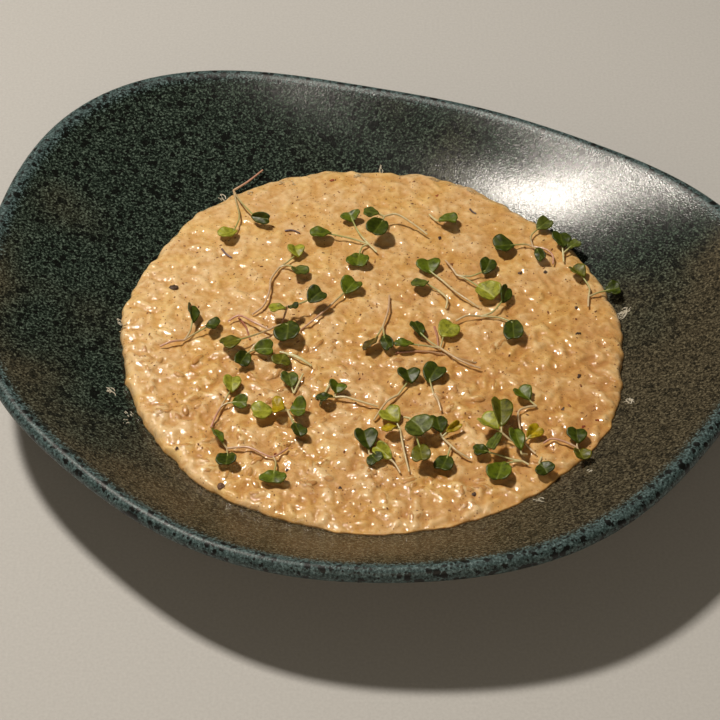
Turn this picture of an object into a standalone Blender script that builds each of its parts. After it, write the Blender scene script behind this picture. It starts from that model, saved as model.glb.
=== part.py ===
"""Mushroom risotto served in a shallow stoneware bowl, strewn with small cress sprigs.

Units are metres, +Z is up. The origin is on the ground, below the middle of the bowl's outline.
The bowl is turned about its round well, and its rings are then eased out to a pebble-shaped rim.
The risotto fills the well and follows the bowl's wall below; its top is a low mound of grain-sized
bumps. Each sprig is a stem that forks to heart-shaped seed leaves, fused into one solid.
"""

import math
import random
from collections import namedtuple

import bmesh
import bpy
from mathutils import Vector, kdtree

MM = 0.001
GAP = 0.0003

# Bowl: the plan outline of the rim is a mean radius with lobes (count, share of radius, degrees)
RIM_RADIUS = 0.1336
RIM_CENTRE = Vector((-0.0065, -0.0002))
RIM_LOBES = ((2, 0.0873, -23.8), (3, 0.0505, 11.4), (4, 0.0196, 23.8), (5, 0.0075, -6.2), (6, 0.0148, 8.0))
WELL_CENTRE = Vector((-0.0017, -0.0080))
WELL_RADIUS = 0.078
WALL_FLOOR = 0.009
WALL_DEPTH = 0.0352
WALL_POWER = 1.77
WALL_THICKNESS = 0.0050
LIP_RADIUS = 0.0023
LIP_TILT = math.atan(WALL_POWER * WALL_DEPTH / RIM_RADIUS)
FOOT_RADIUS = 0.050
FOOT_WIDTH = 0.0050
FOOT_FILLET = 0.0060
FOOT_RECESS = 0.0035
BOWL_SEGMENTS = 64
INNER_RINGS = 7
OUTER_RINGS = 4
LIP_STEPS = 4

# Risotto: its plan outline, levels and the bumps of its grains
FOOD_RADIUS = 0.0919
FOOD_LOBES = ((2, 0.026, -61.0), (3, 0.005, 0.0), (7, 0.006, 20.0), (11, 0.005, 5.0))
FOOD_LEVEL = 0.0294
FOOD_MOUND = 0.0009
EDGE_ROUND = 0.0050
EDGE_FILM = 0.0007
FOOD_RINGS = 23
FOOD_DEPTH = 0.040
GRAIN_COUNT = 1500
GRAIN_HALF_LENGTH = 0.0036
GRAIN_HALF_WIDTH = 0.0017
GRAIN_RELIEF = 0.0010
GRAIN_SEED = 7

# Sprigs: stems, petioles and leaves
STEM_RADIUS = 0.00052
PETIOLE_RADIUS = 0.00040
STEM_ARCH = 0.0008
LEAF_THICKNESS = 0.00050
LEAF_POINTS = 8
LEAF_FOLD = 0.22
LEAF_WAVE = 0.00025
LEAF_NOTCH = 0.24
LEAF_PINCH = 0.45
PETIOLE_REACH = 0.0016
TIP_RISE = 0.0006

# One row per sprig, read in plan (x, y) millimetres: how high it lies over the food, its stem from
# the root end to the fork, and its leaves as petiole points, tip, width and roll in degrees
Sprig = namedtuple("Sprig", "lift stem leaves")
Leaf = namedtuple("Leaf", "petiole tip width roll")
SPRIGS = {
    "a": Sprig(0.0, [(-43.5, 83.5), (-49, 77), (-54.5, 73)], [
        Leaf([(-54.5, 73), (-53, 63.5), (-51.5, 54.5), (-52, 46.5)], (-59, 42.5), 6.5, 40),
        Leaf([(-54.5, 73), (-51.5, 63.5), (-47, 53.5)], (-39, 51), 5, 50)]),
    "b": Sprig(0.0, [(-77.5, -14.5), (-73.5, -13), (-69, -11.5)], [
        Leaf([(-69, -11.5), (-67, -8), (-66, -4.5)], (-67.5, 5), 5.5, 45),
        Leaf([(-69, -11.5), (-65.5, -9), (-61.5, -5)], (-56.5, -6.5), 9, -15)]),
    "c": Sprig(0.0, [(-45, 1.5), (-41, 5.5), (-39, 13), (-38.5, 20), (-35.5, 27)], [
        Leaf([(-35.5, 27), (-32.5, 29.5), (-29, 31.5)], (-30.5, 38), 7, 10),
        Leaf([(-35.5, 27), (-32.5, 27), (-30, 25.5)], (-26.5, 20), 8, -20)]),
    "d_top": Sprig(3.6, [(-34, -4.5), (-32, 2)], [
        Leaf([(-32, 2), (-28.5, 2.5), (-24.5, 3.5)], (-19, 9), 8.5, 10),
        Leaf([(-32, 2), (-32.5, -0.5)], (-39, -2), 7, 20),
        Leaf([(-32, 2), (-31.5, 0.5)], (-28.5, -1), 6, -20)]),
    "d_mid": Sprig(1.5, [(-53.5, -2.5), (-49.5, -0.5), (-44, -4.5), (-38.5, -8)], [
        Leaf([(-38.5, -8), (-34.5, -6), (-31.5, -5)], (-32, -16), 10.5, 10),
        Leaf([(-38.5, -8), (-44, -11.5), (-48.5, -14)], (-55.5, -18), 9, 15)]),
    "d_low": Sprig(0.0, [(-41, -12), (-43, -14.5), (-45, -17.5)], [
        Leaf([(-45, -17.5), (-43.5, -17.6)], (-36, -18), 7, 25),
        Leaf([(-45, -17.5), (-46, -19)], (-49, -27), 6.5, -20)]),
    "d_right": Sprig(0.0, [(-23, -25), (-27.5, -22), (-32, -19)], [
        Leaf([(-32, -19), (-33, -20)], (-34.5, -26), 8, -10)]),
    "d_foot": Sprig(0.0, [(-26, -29), (-27, -33), (-29, -38.5)], [
        Leaf([(-29, -38.5), (-30, -36.5)], (-31.5, -29), 7, 15)]),
    "e": Sprig(0.0, [(0.5, 35), (-2.5, 39.5)], [
        Leaf([(-2.5, 39.5), (-9, 42), (-16.5, 44.5)], (-25, 42.5), 8, 15),
        Leaf([(-2.5, 39.5), (-6, 45), (-8.5, 51.5)], (-10, 56.5), 8.5, -10),
        Leaf([(-2.5, 39.5), (-5, 37.5), (-6, 33.5)], (-7, 25.5), 9.5, 5)]),
    "f": Sprig(3.0, [(19.5, 44), (13.5, 49.5), (8, 53), (3.5, 52)], [
        Leaf([(3.5, 52), (1.5, 52.3)], (-5, 53), 7.5, 15),
        Leaf([(3.5, 52), (3, 49)], (-1.5, 39), 9, -10)]),
    "h": Sprig(0.0, [(-27.5, -7), (-21, -0.5), (-15.5, 7.5)], [
        Leaf([(-15.5, 7.5), (-11.5, 12)], (-7, 19), 9, 5)]),
    "j_left": Sprig(0.0, [(37.5, 5), (34, 8), (29, 13), (25, 19)], [
        Leaf([(25, 19), (20, 23)], (19, 31), 10, 0)]),
    "j_right": Sprig(0.0, [(25.5, 4.5), (26, 9), (23, 14)], [
        Leaf([(23, 14), (19.5, 17.5)], (13, 14.5), 7, 20)]),
    "k": Sprig(0.0, [(20.5, 56.5), (23, 53)], [
        Leaf([(23, 53), (24, 52)], (31.5, 50.5), 9, 0)]),
    "l": Sprig(0.0, [(26, 30.5), (28, 26), (30, 22.5)], [
        Leaf([(30, 22.5), (33.5, 20), (37.5, 16)], (44.5, 8), 10.5, 5),
        Leaf([(30, 22.5), (35, 21.5), (40, 22.5)], (43, 30.5), 7, 10)]),
    "n_left": Sprig(0.0, [(5, 11.5), (4.5, 3), (2.5, -5)], [
        Leaf([(2.5, -5), (0.5, -12)], (-4, -19.5), 5.5, 35),
        Leaf([(2.5, -5), (2.5, -11)], (5.5, -19), 5, 30)]),
    "n_right": Sprig(0.0, [(37, -26), (31.5, -24), (27, -20.5), (23, -16)], [
        Leaf([(23, -16), (18, -15.5), (13.5, -15)], (6, -16.5), 6, 20),
        Leaf([(23, -16), (19.5, -13.5), (16.5, -11)], (13.5, -3.5), 6, 20),
        Leaf([(23, -16), (23.5, -11)], (28.5, -4), 9, 10)]),
    "o": Sprig(0.0, [(66, 29), (66, 33), (63.5, 36.5), (59, 38.5)], [
        Leaf([(59, 38.5), (56, 39.5), (52, 38.5)], (43.5, 37), 10.5, 5),
        Leaf([(59, 38.5), (60, 36)], (62.5, 28.5), 4.5, 40),
        Leaf([(59, 38.5), (58.5, 44), (61, 47.5)], (66.5, 53), 6.5, 10)]),
    "p": Sprig(0.5, [(70, 30), (70, 34.5)], [
        Leaf([(70, 34.5), (70, 36.5)], (69, 45), 8, 15),
        Leaf([(70, 34.5), (72, 36.5)], (76.5, 40), 6, -10)]),
    "q": Sprig(0.0, [(77.5, 6), (78, 11.5)], [
        Leaf([(78, 11.5), (78.5, 16), (77, 20.5)], (72, 26), 7.5, 15),
        Leaf([(78, 11.5), (81.5, 13.5), (84.5, 15.5)], (90.5, 16), 8, 0)]),
    "t": Sprig(0.0, [(29, -2), (33, 0), (38, 0.5)], [
        Leaf([(38, 0.5), (42.5, 2), (46, 6)], (48.5, 14.5), 5.5, 40),
        Leaf([(38, 0.5), (44.5, -0.5), (49.5, -2)], (49.5, -14), 8, 10)]),
    "u": Sprig(0.0, [(-57.5, -54.5), (-56, -50), (-54.5, -45)], [
        Leaf([(-54.5, -45), (-51, -38.5)], (-51, -30.5), 7, 10),
        Leaf([(-54.5, -45), (-52.5, -43.8), (-50.5, -43.5)], (-44.5, -44.5), 6, 20)]),
    "v": Sprig(0.8, [(-28, -56), (-30, -51), (-31, -47.5)], [
        Leaf([(-31, -47.5), (-33.5, -48), (-36, -48)], (-44, -49.5), 9.5, 5),
        Leaf([(-31, -47.5), (-32, -47.5)], (-37, -47.5), 10.5, 10),
        Leaf([(-31, -47.5), (-30, -48)], (-24, -48.5), 9, 10),
        Leaf([(-31, -47.5), (-29.5, -52), (-28.5, -55)], (-26, -62), 6.5, -20)]),
    "w": Sprig(0.0, [(0.5, -45), (-6, -43), (-11, -41), (-14.5, -40.5)], [
        Leaf([(-14.5, -40.5), (-14.5, -39.5)], (-13.5, -34.5), 7, 20),
        Leaf([(-14.5, -40.5), (-15.5, -41)], (-20.5, -44.5), 6.5, 25)]),
    "x": Sprig(0.0, [(-30.5, -64.5), (-35.5, -69), (-39.5, -67.5), (-44.5, -64.5), (-51.5, -64.5)], [
        Leaf([(-51.5, -64.5), (-53, -63.5)], (-57, -57), 4.5, 40),
        Leaf([(-51.5, -64.5), (-51, -67.5)], (-51.5, -74.5), 8, 10),
        Leaf([(-35.5, -69), (-34.5, -72), (-35, -75.5)], (-35.5, -82), 10.5, 5)]),
    "y_left": Sprig(0.0, [(-1, -51.5), (3.5, -43.5), (7.5, -39.5)], [
        Leaf([(7.5, -39.5), (12, -34.5)], (10.5, -27.5), 9, 10)]),
    "y_right": Sprig(0.0, [(22.5, -47), (21.5, -42.5), (20, -38.5)], [
        Leaf([(20, -38.5), (18, -33.5)], (22.5, -25), 9, 5)]),
    "z_left": Sprig(0.0, [(8, -76), (5.5, -71.5), (1.5, -69), (-2.5, -67.5)], [
        Leaf([(-2.5, -67.5), (-2.8, -66)], (-5, -56.5), 9, 10),
        Leaf([(-2.5, -67.5), (-2, -68.5)], (0.5, -73), 7, 15),
        Leaf([(5.5, -71.5), (5, -70.5)], (-1, -64.5), 6, -20)]),
    "z_mid": Sprig(0.0, [(11, -75.5), (9.5, -67.5), (8.5, -60), (8, -55.5)], [
        Leaf([(8, -55.5), (7.5, -53)], (2, -47), 9, 5),
        Leaf([(8, -55.5), (7, -56)], (2.5, -59.5), 6.5, 30)]),
    "z_top": Sprig(3.6, [(9.5, -51), (11.5, -54)], [
        Leaf([(11.5, -54), (12, -55)], (17, -63), 12, 5),
        Leaf([(11.5, -54), (13, -60.5), (14.5, -67)], (15.5, -76), 7.5, 10)]),
    "z_right": Sprig(0.0, [(32, -69.5), (28, -67), (25.5, -64), (22.5, -59.5)], [
        Leaf([(22.5, -59.5), (22, -58)], (20.5, -50), 7.5, 10),
        Leaf([(25.5, -64), (24.5, -68.5)], (21.5, -76.5), 7.5, 5),
        Leaf([(22.5, -59.5), (24, -58)], (29.5, -54), 3.5, 35)]),
    "aa_left": Sprig(0.0, [(52, -72), (50, -70.5)], [
        Leaf([(50, -70.5), (46.5, -71), (43, -71.5)], (40.5, -81), 9.5, 5),
        Leaf([(50, -70.5), (45.5, -69.5), (41.5, -68), (38.5, -66.5)], (32.5, -67), 6.5, 10)]),
    "aa_mid": Sprig(3.0, [(46.5, -62), (43, -60)], [
        Leaf([(43, -60), (42, -59.5)], (35, -54), 8.5, 10),
        Leaf([(43, -60), (43, -58)], (43, -44.5), 8.5, 15),
        Leaf([(43, -60), (42.5, -61)], (38.5, -70), 5, 20)]),
    "aa_top": Sprig(2.6, [(51.5, -68), (49.5, -69.5)], [
        Leaf([(49.5, -69.5), (49, -68.5)], (47, -58), 6, 15)]),
    "aa_right": Sprig(0.0, [(54.5, -67), (51, -62), (49.5, -54), (49.5, -48), (52.5, -45.5), (56, -44.5)], [
        Leaf([(56, -44.5), (53.5, -42.5)], (49, -37), 8, 10),
        Leaf([(51, -62), (52, -60.5)], (57, -55.5), 6, 15)]),
    "aa_foot": Sprig(0.0, [(56.5, -68.5), (55.5, -71)], [
        Leaf([(55.5, -71), (55.8, -72)], (58.5, -77.5), 8, 5)]),
    "ab": Sprig(0.0, [(57.5, -62), (60.5, -60.5), (65, -62), (69, -64)], [
        Leaf([(69, -64), (69, -62.5)], (69, -55.5), 8, 10),
        Leaf([(69, -64), (69.3, -65.5)], (70.5, -71.5), 7, -15)]),
}


# Outlines and heights

def lobed(lobes, angle):
    """Radius of a lobed outline as a share of its mean radius."""
    return 1.0 + sum(share * math.cos(count * (angle - math.radians(turn))) for count, share, turn in lobes)


def smooth_step(value):
    """Eases from 0 to 1 while the value goes from 0 to 1."""
    value = min(max(value, 0.0), 1.0)
    return value * value * (3.0 - 2.0 * value)


def rim_share(radius):
    """How far a ring of the turned bowl has left the round well for the pebble-shaped rim."""
    return smooth_step((radius - WELL_RADIUS) / (RIM_RADIUS - WELL_RADIUS))


def bowl_point(radius, angle):
    """Plan place of a point of the turned bowl after its rings are eased out to the rim's outline."""
    share = rim_share(radius)
    centre = WELL_CENTRE.lerp(RIM_CENTRE, share)
    reach = radius * (1.0 + share * (lobed(RIM_LOBES, angle) - 1.0))
    return centre + Vector((math.cos(angle), math.sin(angle))) * reach


def wall_profile(radius):
    """Height of the bowl's inner surface on a ring of the turned bowl."""
    return WALL_FLOOR + WALL_DEPTH * (radius / RIM_RADIUS) ** WALL_POWER


def wall_height(x, y):
    """Height of the bowl's inner surface at a plan place, found by undoing the easing step by step."""
    place = Vector((x, y))
    radius = (place - WELL_CENTRE).length
    for _ in range(10):
        share = rim_share(radius)
        arm = place - WELL_CENTRE.lerp(RIM_CENTRE, share)
        angle = math.atan2(arm.y, arm.x)
        radius = arm.length / (1.0 + share * (lobed(RIM_LOBES, angle) - 1.0))
    return wall_profile(radius)


def food_edge(angle):
    """Distance of the risotto's edge from the well's centre."""
    return FOOD_RADIUS * lobed(FOOD_LOBES, angle)


def food_skin(x, y):
    """Smooth top of the risotto, which its grains rise above: level, low mound and rounded edge."""
    arm = Vector((x, y)) - WELL_CENTRE
    edge = food_edge(math.atan2(arm.y, arm.x))
    level = FOOD_LEVEL + FOOD_MOUND * (1.0 - min(arm.length / edge, 1.0) ** 2)
    inside = min(max((edge - arm.length) / EDGE_ROUND, 0.0), 1.0)
    rounding = math.sqrt(1.0 - (1.0 - inside) ** 2)
    edge_height = wall_height(x, y) + GAP + EDGE_FILM
    return edge_height + (max(level, edge_height) - edge_height) * rounding


def grain_field():
    """Seeded places, turns and heights of the grains that show as bumps, in a search tree."""
    draw = random.Random(GRAIN_SEED)
    golden = math.pi * (3.0 - math.sqrt(5.0))
    tree = kdtree.KDTree(GRAIN_COUNT)
    turns = []
    for index in range(GRAIN_COUNT):
        reach = FOOD_RADIUS * math.sqrt((index + 0.5) / GRAIN_COUNT) + draw.uniform(-0.0012, 0.0012)
        angle = index * golden + draw.uniform(-0.02, 0.02)
        x = WELL_CENTRE.x + reach * math.cos(angle)
        y = WELL_CENTRE.y + reach * math.sin(angle)
        tree.insert((x, y, 0.0), index)
        turns.append((draw.uniform(0.0, math.pi), draw.uniform(0.45, 1.0)))
    tree.balance()
    return tree, turns


def grain_relief(field, x, y):
    """Height of the grain bump over the smooth top of the risotto."""
    tree, turns = field
    height = 0.0
    for place, index, _ in tree.find_range((x, y, 0.0), GRAIN_HALF_LENGTH):
        turn, share = turns[index]
        along = (x - place.x) * math.cos(turn) + (y - place.y) * math.sin(turn)
        across = (y - place.y) * math.cos(turn) - (x - place.x) * math.sin(turn)
        inside = 1.0 - (along / GRAIN_HALF_LENGTH) ** 2 - (across / GRAIN_HALF_WIDTH) ** 2
        height = max(height, share * GRAIN_RELIEF * max(inside, 0.0))
    return height


# Collections and materials

def new_collection(name):
    """A collection linked to the scene."""
    collection = bpy.data.collections.new(name)
    bpy.context.scene.collection.children.link(collection)
    return collection


def new_material(name, colour, roughness, coat=0.0):
    """A plain Principled BSDF material."""
    material = bpy.data.materials.new(name)
    material.use_nodes = True
    shader = material.node_tree.nodes["Principled BSDF"]
    shader.inputs["Base Color"].default_value = (*colour, 1.0)
    shader.inputs["Roughness"].default_value = roughness
    shader.inputs["Coat Weight"].default_value = coat
    material.diffuse_color = (*colour, 1.0)
    return material


def add_object(name, mesh, collection, material=None):
    """An object in a collection, with its material."""
    obj = bpy.data.objects.new(name, mesh)
    collection.objects.link(obj)
    if material:
        mesh.materials.clear()
        mesh.materials.append(material)
    return obj


def evaluated_mesh(obj):
    """The mesh that an object has after its modifiers."""
    bpy.context.view_layer.update()
    graph = bpy.context.evaluated_depsgraph_get()
    return bpy.data.meshes.new_from_object(obj.evaluated_get(graph))


# Bowl

def turned_mesh(name, profile, collection):
    """Turns a profile of (radius, height) points about the Z axis, then eases its rings to the rim."""
    line = bpy.data.meshes.new(name + "_profile")
    edges = [(index, index + 1) for index in range(len(profile) - 1)]
    line.from_pydata([(radius, 0.0, height) for radius, height in profile], edges, [])
    guide = add_object(name + "_profile", line, collection)
    screw = guide.modifiers.new("Turn", "SCREW")
    screw.axis = "Z"
    screw.angle = math.tau
    screw.steps = BOWL_SEGMENTS
    screw.render_steps = BOWL_SEGMENTS
    screw.use_merge_vertices = True
    screw.merge_threshold = 0.00001
    mesh = evaluated_mesh(guide)
    bpy.data.objects.remove(guide)
    for vertex in mesh.vertices:
        radius = math.hypot(vertex.co.x, vertex.co.y)
        angle = math.atan2(vertex.co.y, vertex.co.x)
        vertex.co.xy = bowl_point(radius, angle)
    return mesh


def wall_rings():
    """Radii of the rings of the inner surface, from the centre to the lip."""
    last = RIM_RADIUS - LIP_RADIUS * math.sin(LIP_TILT)
    return [last * index / INNER_RINGS for index in range(INNER_RINGS + 1)]


def bowl_profile():
    """Profile from the middle of the well over the lip, down the outside and under the foot."""
    points = [(radius, wall_profile(radius)) for radius in wall_rings()]
    lip_height = points[-1][1] - LIP_RADIUS * math.cos(LIP_TILT)
    for index in range(1, LIP_STEPS + 1):
        angle = math.radians(90.0 - 180.0 * index / LIP_STEPS) + LIP_TILT
        points.append((RIM_RADIUS + LIP_RADIUS * math.cos(angle), lip_height + LIP_RADIUS * math.sin(angle)))
    foot_top = FOOT_RADIUS + FOOT_FILLET
    for index in range(1, OUTER_RINGS + 1):
        radius = RIM_RADIUS - (RIM_RADIUS - foot_top) * index / OUTER_RINGS
        points.append((radius, wall_profile(radius) - WALL_THICKNESS))
    points.append((FOOT_RADIUS, 0.0015))
    points.append((FOOT_RADIUS - 0.0010, 0.0))
    points.append((FOOT_RADIUS - FOOT_WIDTH, 0.0))
    points.append((FOOT_RADIUS - FOOT_WIDTH - FOOT_RECESS, FOOT_RECESS))
    points.append((0.0, FOOT_RECESS))
    return points


def build_bowl(parts, guides, material):
    """The stoneware bowl."""
    mesh = turned_mesh("bowl", bowl_profile(), guides)
    bowl = add_object("bowl", mesh, parts, material)
    mesh.shade_smooth()
    mesh.set_sharp_from_angle(angle=math.radians(50.0))
    return bowl


# Risotto

def build_wall_cutter(guides):
    """A block whose top is the bowl's inner surface, raised by the gap that touching pieces keep."""
    inner = [(radius, wall_profile(radius) + GAP) for radius in wall_rings()]
    outer = RIM_RADIUS + 0.010
    profile = inner + [(outer, inner[-1][1]), (outer, -0.030), (0.0, -0.030)]
    cutter = add_object("risotto_wall_cutter", turned_mesh("cutter", profile, guides), guides)
    cutter.hide_render = True
    cutter.display_type = "WIRE"
    return cutter


def round_disc(x, y):
    """Moves a place in a unit hexagon to the unit disc, and crowds it a little towards the edge."""
    angle = math.atan2(y, x)
    sector = (angle + math.pi / 6.0) % (math.pi / 3.0) - math.pi / 6.0
    reach = math.hypot(x, y) * math.cos(sector) / math.cos(math.pi / 6.0)
    return angle, 1.0 - max(1.0 - reach, 0.0) ** 1.06


def build_risotto(parts, cutter, material):
    """The risotto: a bumpy disc with a skirt, cut from below by the bowl's wall."""
    mesh = bpy.data.meshes.new("risotto")
    sheet = bmesh.new()
    bmesh.ops.create_circle(sheet, cap_ends=True, cap_tris=True, segments=6, radius=1.0)
    bmesh.ops.subdivide_edges(sheet, edges=sheet.edges[:], cuts=FOOD_RINGS - 1, use_grid_fill=True)
    field = grain_field()
    for vertex in sheet.verts:
        angle, reach = round_disc(vertex.co.x, vertex.co.y)
        radius = reach * food_edge(angle)
        x = WELL_CENTRE.x + radius * math.cos(angle)
        y = WELL_CENTRE.y + radius * math.sin(angle)
        calm = smooth_step((food_edge(angle) - radius) / (2.0 * EDGE_ROUND))
        vertex.co = (x, y, food_skin(x, y) + calm * grain_relief(field, x, y))
    rim = [edge for edge in sheet.edges if edge.is_boundary]
    skirt = bmesh.ops.extrude_edge_only(sheet, edges=rim)["geom"]
    for vertex in (item for item in skirt if isinstance(item, bmesh.types.BMVert)):
        vertex.co.z -= FOOD_DEPTH
    bmesh.ops.contextual_create(sheet, geom=[edge for edge in sheet.edges if edge.is_boundary])
    bmesh.ops.recalc_face_normals(sheet, faces=sheet.faces[:])
    sheet.to_mesh(mesh)
    sheet.free()
    risotto = add_object("risotto", mesh, parts, material)
    cut = risotto.modifiers.new("Wall", "BOOLEAN")
    cut.operation = "DIFFERENCE"
    cut.object = cutter
    mesh.shade_smooth()
    return risotto


# Sprigs

def resting_height(x, y):
    """Lowest height that a sprig may have at a plan place, clear of the food or of the bare wall."""
    arm = Vector((x, y)) - WELL_CENTRE
    if arm.length < food_edge(math.atan2(arm.y, arm.x)):
        return food_skin(x, y) + GRAIN_RELIEF + GAP
    return wall_height(x, y) + GRAIN_RELIEF + GAP


def lifted_path(points, start_lift, end_lift, radius, arch):
    """Plan points in millimetres raised over the food, from one lift to another, with a slight arch."""
    path = []
    for index, (x, y) in enumerate(points):
        share = index / max(len(points) - 1, 1)
        lift = start_lift + (end_lift - start_lift) * smooth_step(share) + arch * math.sin(math.pi * share)
        path.append(Vector((x * MM, y * MM, resting_height(x * MM, y * MM) + radius + lift)))
    return path


def tube_mesh_object(name, path, radius, collection):
    """A thin round stalk along a path, as a closed mesh."""
    curve = bpy.data.curves.new(name, "CURVE")
    curve.dimensions = "3D"
    curve.bevel_depth = radius
    curve.bevel_resolution = 0
    curve.use_fill_caps = True
    spline = curve.splines.new("POLY")
    spline.points.add(len(path) - 1)
    for point, place in zip(spline.points, path):
        point.co = (*place, 1.0)
    guide = bpy.data.objects.new(name + "_curve", curve)
    collection.objects.link(guide)
    mesh = evaluated_mesh(guide)
    shell = bmesh.new()
    shell.from_mesh(mesh)
    bmesh.ops.remove_doubles(shell, verts=shell.verts[:], dist=0.000005)
    bmesh.ops.recalc_face_normals(shell, faces=shell.faces[:])
    shell.to_mesh(mesh)
    shell.free()
    stalk = bpy.data.objects.new(name, mesh)
    stalk.matrix_world = guide.matrix_world
    collection.objects.link(stalk)
    bpy.data.objects.remove(guide)
    return stalk


def leaf_outline(angle):
    """Heart-shaped seed leaf in half lengths and half widths: a notch at the tip, narrow at the base."""
    notch = 1.0 - LEAF_NOTCH * math.exp(-((angle / 0.5) ** 2))
    base = (1.0 - math.cos(angle)) / 2.0
    return notch * math.cos(angle), notch * math.sin(angle) * (1.0 - LEAF_PINCH * base ** 2)


def leaf_frame(leaf, base):
    """Axes of a leaf: along it from base to tip, across it, and out of its face."""
    tip = Vector((leaf.tip[0] * MM, leaf.tip[1] * MM, base.z + TIP_RISE))
    along = tip - base
    across = Vector((-along.y, along.x, 0.0)).normalized()
    out = along.cross(across).normalized()
    turn = math.radians(leaf.roll)
    rolled = across * math.cos(turn) + out * math.sin(turn)
    return along, rolled, along.cross(rolled).normalized()


def build_leaf(name, leaf, base, phase, collection):
    """A thin wavy leaf folded along its midrib, raised so that its lower side clears the food."""
    along, across, out = leaf_frame(leaf, base)
    half_width = leaf.width * MM / 2.0
    middle = base + along / 2.0
    sheet = bmesh.new()
    bmesh.ops.create_circle(sheet, cap_ends=True, cap_tris=True, segments=LEAF_POINTS, radius=1.0)
    for vertex in sheet.verts:
        if vertex.co.length < 0.5:
            vertex.co = middle
            continue
        angle = math.atan2(vertex.co.y, vertex.co.x)
        lengthwise, sideways = leaf_outline(angle)
        raised = LEAF_FOLD * abs(sideways) * half_width + LEAF_WAVE * math.sin(3.0 * angle + phase)
        vertex.co = middle + along * (lengthwise / 2.0) + across * (sideways * half_width) + out * raised
    mesh = bpy.data.meshes.new(name)
    sheet.to_mesh(mesh)
    sheet.free()
    blade = add_object(name, mesh, collection)
    thick = blade.modifiers.new("Thickness", "SOLIDIFY")
    thick.thickness = LEAF_THICKNESS
    thick.offset = 0.0
    return blade


def build_sprig(name, sprig, parts, material):
    """Stem, petioles and leaves of one sprig, fused into one solid."""
    pieces = new_collection(name + "_pieces")
    lift = sprig.lift * MM
    stem_path = lifted_path(sprig.stem, 0.3 * lift, lift, STEM_RADIUS, STEM_ARCH)
    stem = tube_mesh_object(name, stem_path, STEM_RADIUS, parts)
    forks = dict(zip(sprig.stem, stem_path))
    for index, leaf in enumerate(sprig.leaves):
        fork = forks[leaf.petiole[0]]
        ground = resting_height(fork.x, fork.y) + PETIOLE_RADIUS
        rolled = abs(math.sin(math.radians(leaf.roll))) * leaf.width * MM / 2.0
        leaf_lift = lift + rolled * 0.9 + LEAF_WAVE
        path = lifted_path(leaf.petiole, fork.z - ground, leaf_lift, PETIOLE_RADIUS, 0.0)
        base = path[-1].copy()
        along = leaf_frame(leaf, base)[0].normalized()
        path[-1] = base + along * PETIOLE_REACH
        tube_mesh_object(f"{name}_petiole_{index}", path, PETIOLE_RADIUS, pieces)
        build_leaf(f"{name}_leaf_{index}", leaf, base, 1.7 * index, pieces)
    fuse = stem.modifiers.new("Fuse", "BOOLEAN")
    fuse.operation = "UNION"
    fuse.operand_type = "COLLECTION"
    fuse.collection = pieces
    fuse.solver = "MANIFOLD"
    fused = evaluated_mesh(stem)
    stem.modifiers.clear()
    stem.data = fused
    fused.materials.clear()
    fused.materials.append(material)
    for piece in list(pieces.objects):
        bpy.data.objects.remove(piece)
    bpy.data.collections.remove(pieces)
    return stem


def main():
    for obj in list(bpy.data.objects):
        bpy.data.objects.remove(obj)
    parts = new_collection("mushroom_risotto")
    guides = new_collection("cutters")
    glaze = new_material("dark speckled stoneware glaze", (0.022, 0.032, 0.030), 0.42, 0.4)
    cream = new_material("creamy risotto", (0.66, 0.42, 0.20), 0.38, 0.5)
    green = new_material("seed leaf green", (0.070, 0.150, 0.020), 0.48)
    build_bowl(parts, guides, glaze)
    cutter = build_wall_cutter(guides)
    build_risotto(parts, cutter, cream)
    for key, sprig in SPRIGS.items():
        build_sprig("sprig_" + key, sprig, parts, green)


main()
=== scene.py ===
"""Mushroom risotto in a dark stoneware bowl, strewn with cress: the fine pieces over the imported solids.

Lengths are metres and +Z is up. The origin lies on the table below the middle of the bowl's outline.
"""

import math
from collections import namedtuple

import bmesh
import bpy
import numpy as np
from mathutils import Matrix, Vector


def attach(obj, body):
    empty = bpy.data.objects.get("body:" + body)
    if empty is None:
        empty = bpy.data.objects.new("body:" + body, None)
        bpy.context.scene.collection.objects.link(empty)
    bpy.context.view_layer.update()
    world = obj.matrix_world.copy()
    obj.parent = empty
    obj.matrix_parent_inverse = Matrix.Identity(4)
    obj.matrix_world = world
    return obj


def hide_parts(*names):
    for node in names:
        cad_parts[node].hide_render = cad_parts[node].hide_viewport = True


bl_info = {
    "name": "Mushroom risotto in a bowl",
    "version": (1, 0, 0),
    "blender": (4, 5, 0),
    "location": "3D View > Sidebar > Risotto",
    "description": "Glazed stoneware bowl, creamy rice with its seasoning, and cress sprigs",
    "category": "Object",
}

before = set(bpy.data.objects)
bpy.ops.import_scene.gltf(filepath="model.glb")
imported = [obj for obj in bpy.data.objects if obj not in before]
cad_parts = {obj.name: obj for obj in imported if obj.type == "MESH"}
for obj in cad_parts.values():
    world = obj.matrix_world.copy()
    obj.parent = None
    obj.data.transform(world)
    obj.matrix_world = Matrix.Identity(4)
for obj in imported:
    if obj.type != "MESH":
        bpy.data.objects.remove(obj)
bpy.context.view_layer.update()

MM = 0.001
BODY = "root"

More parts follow.
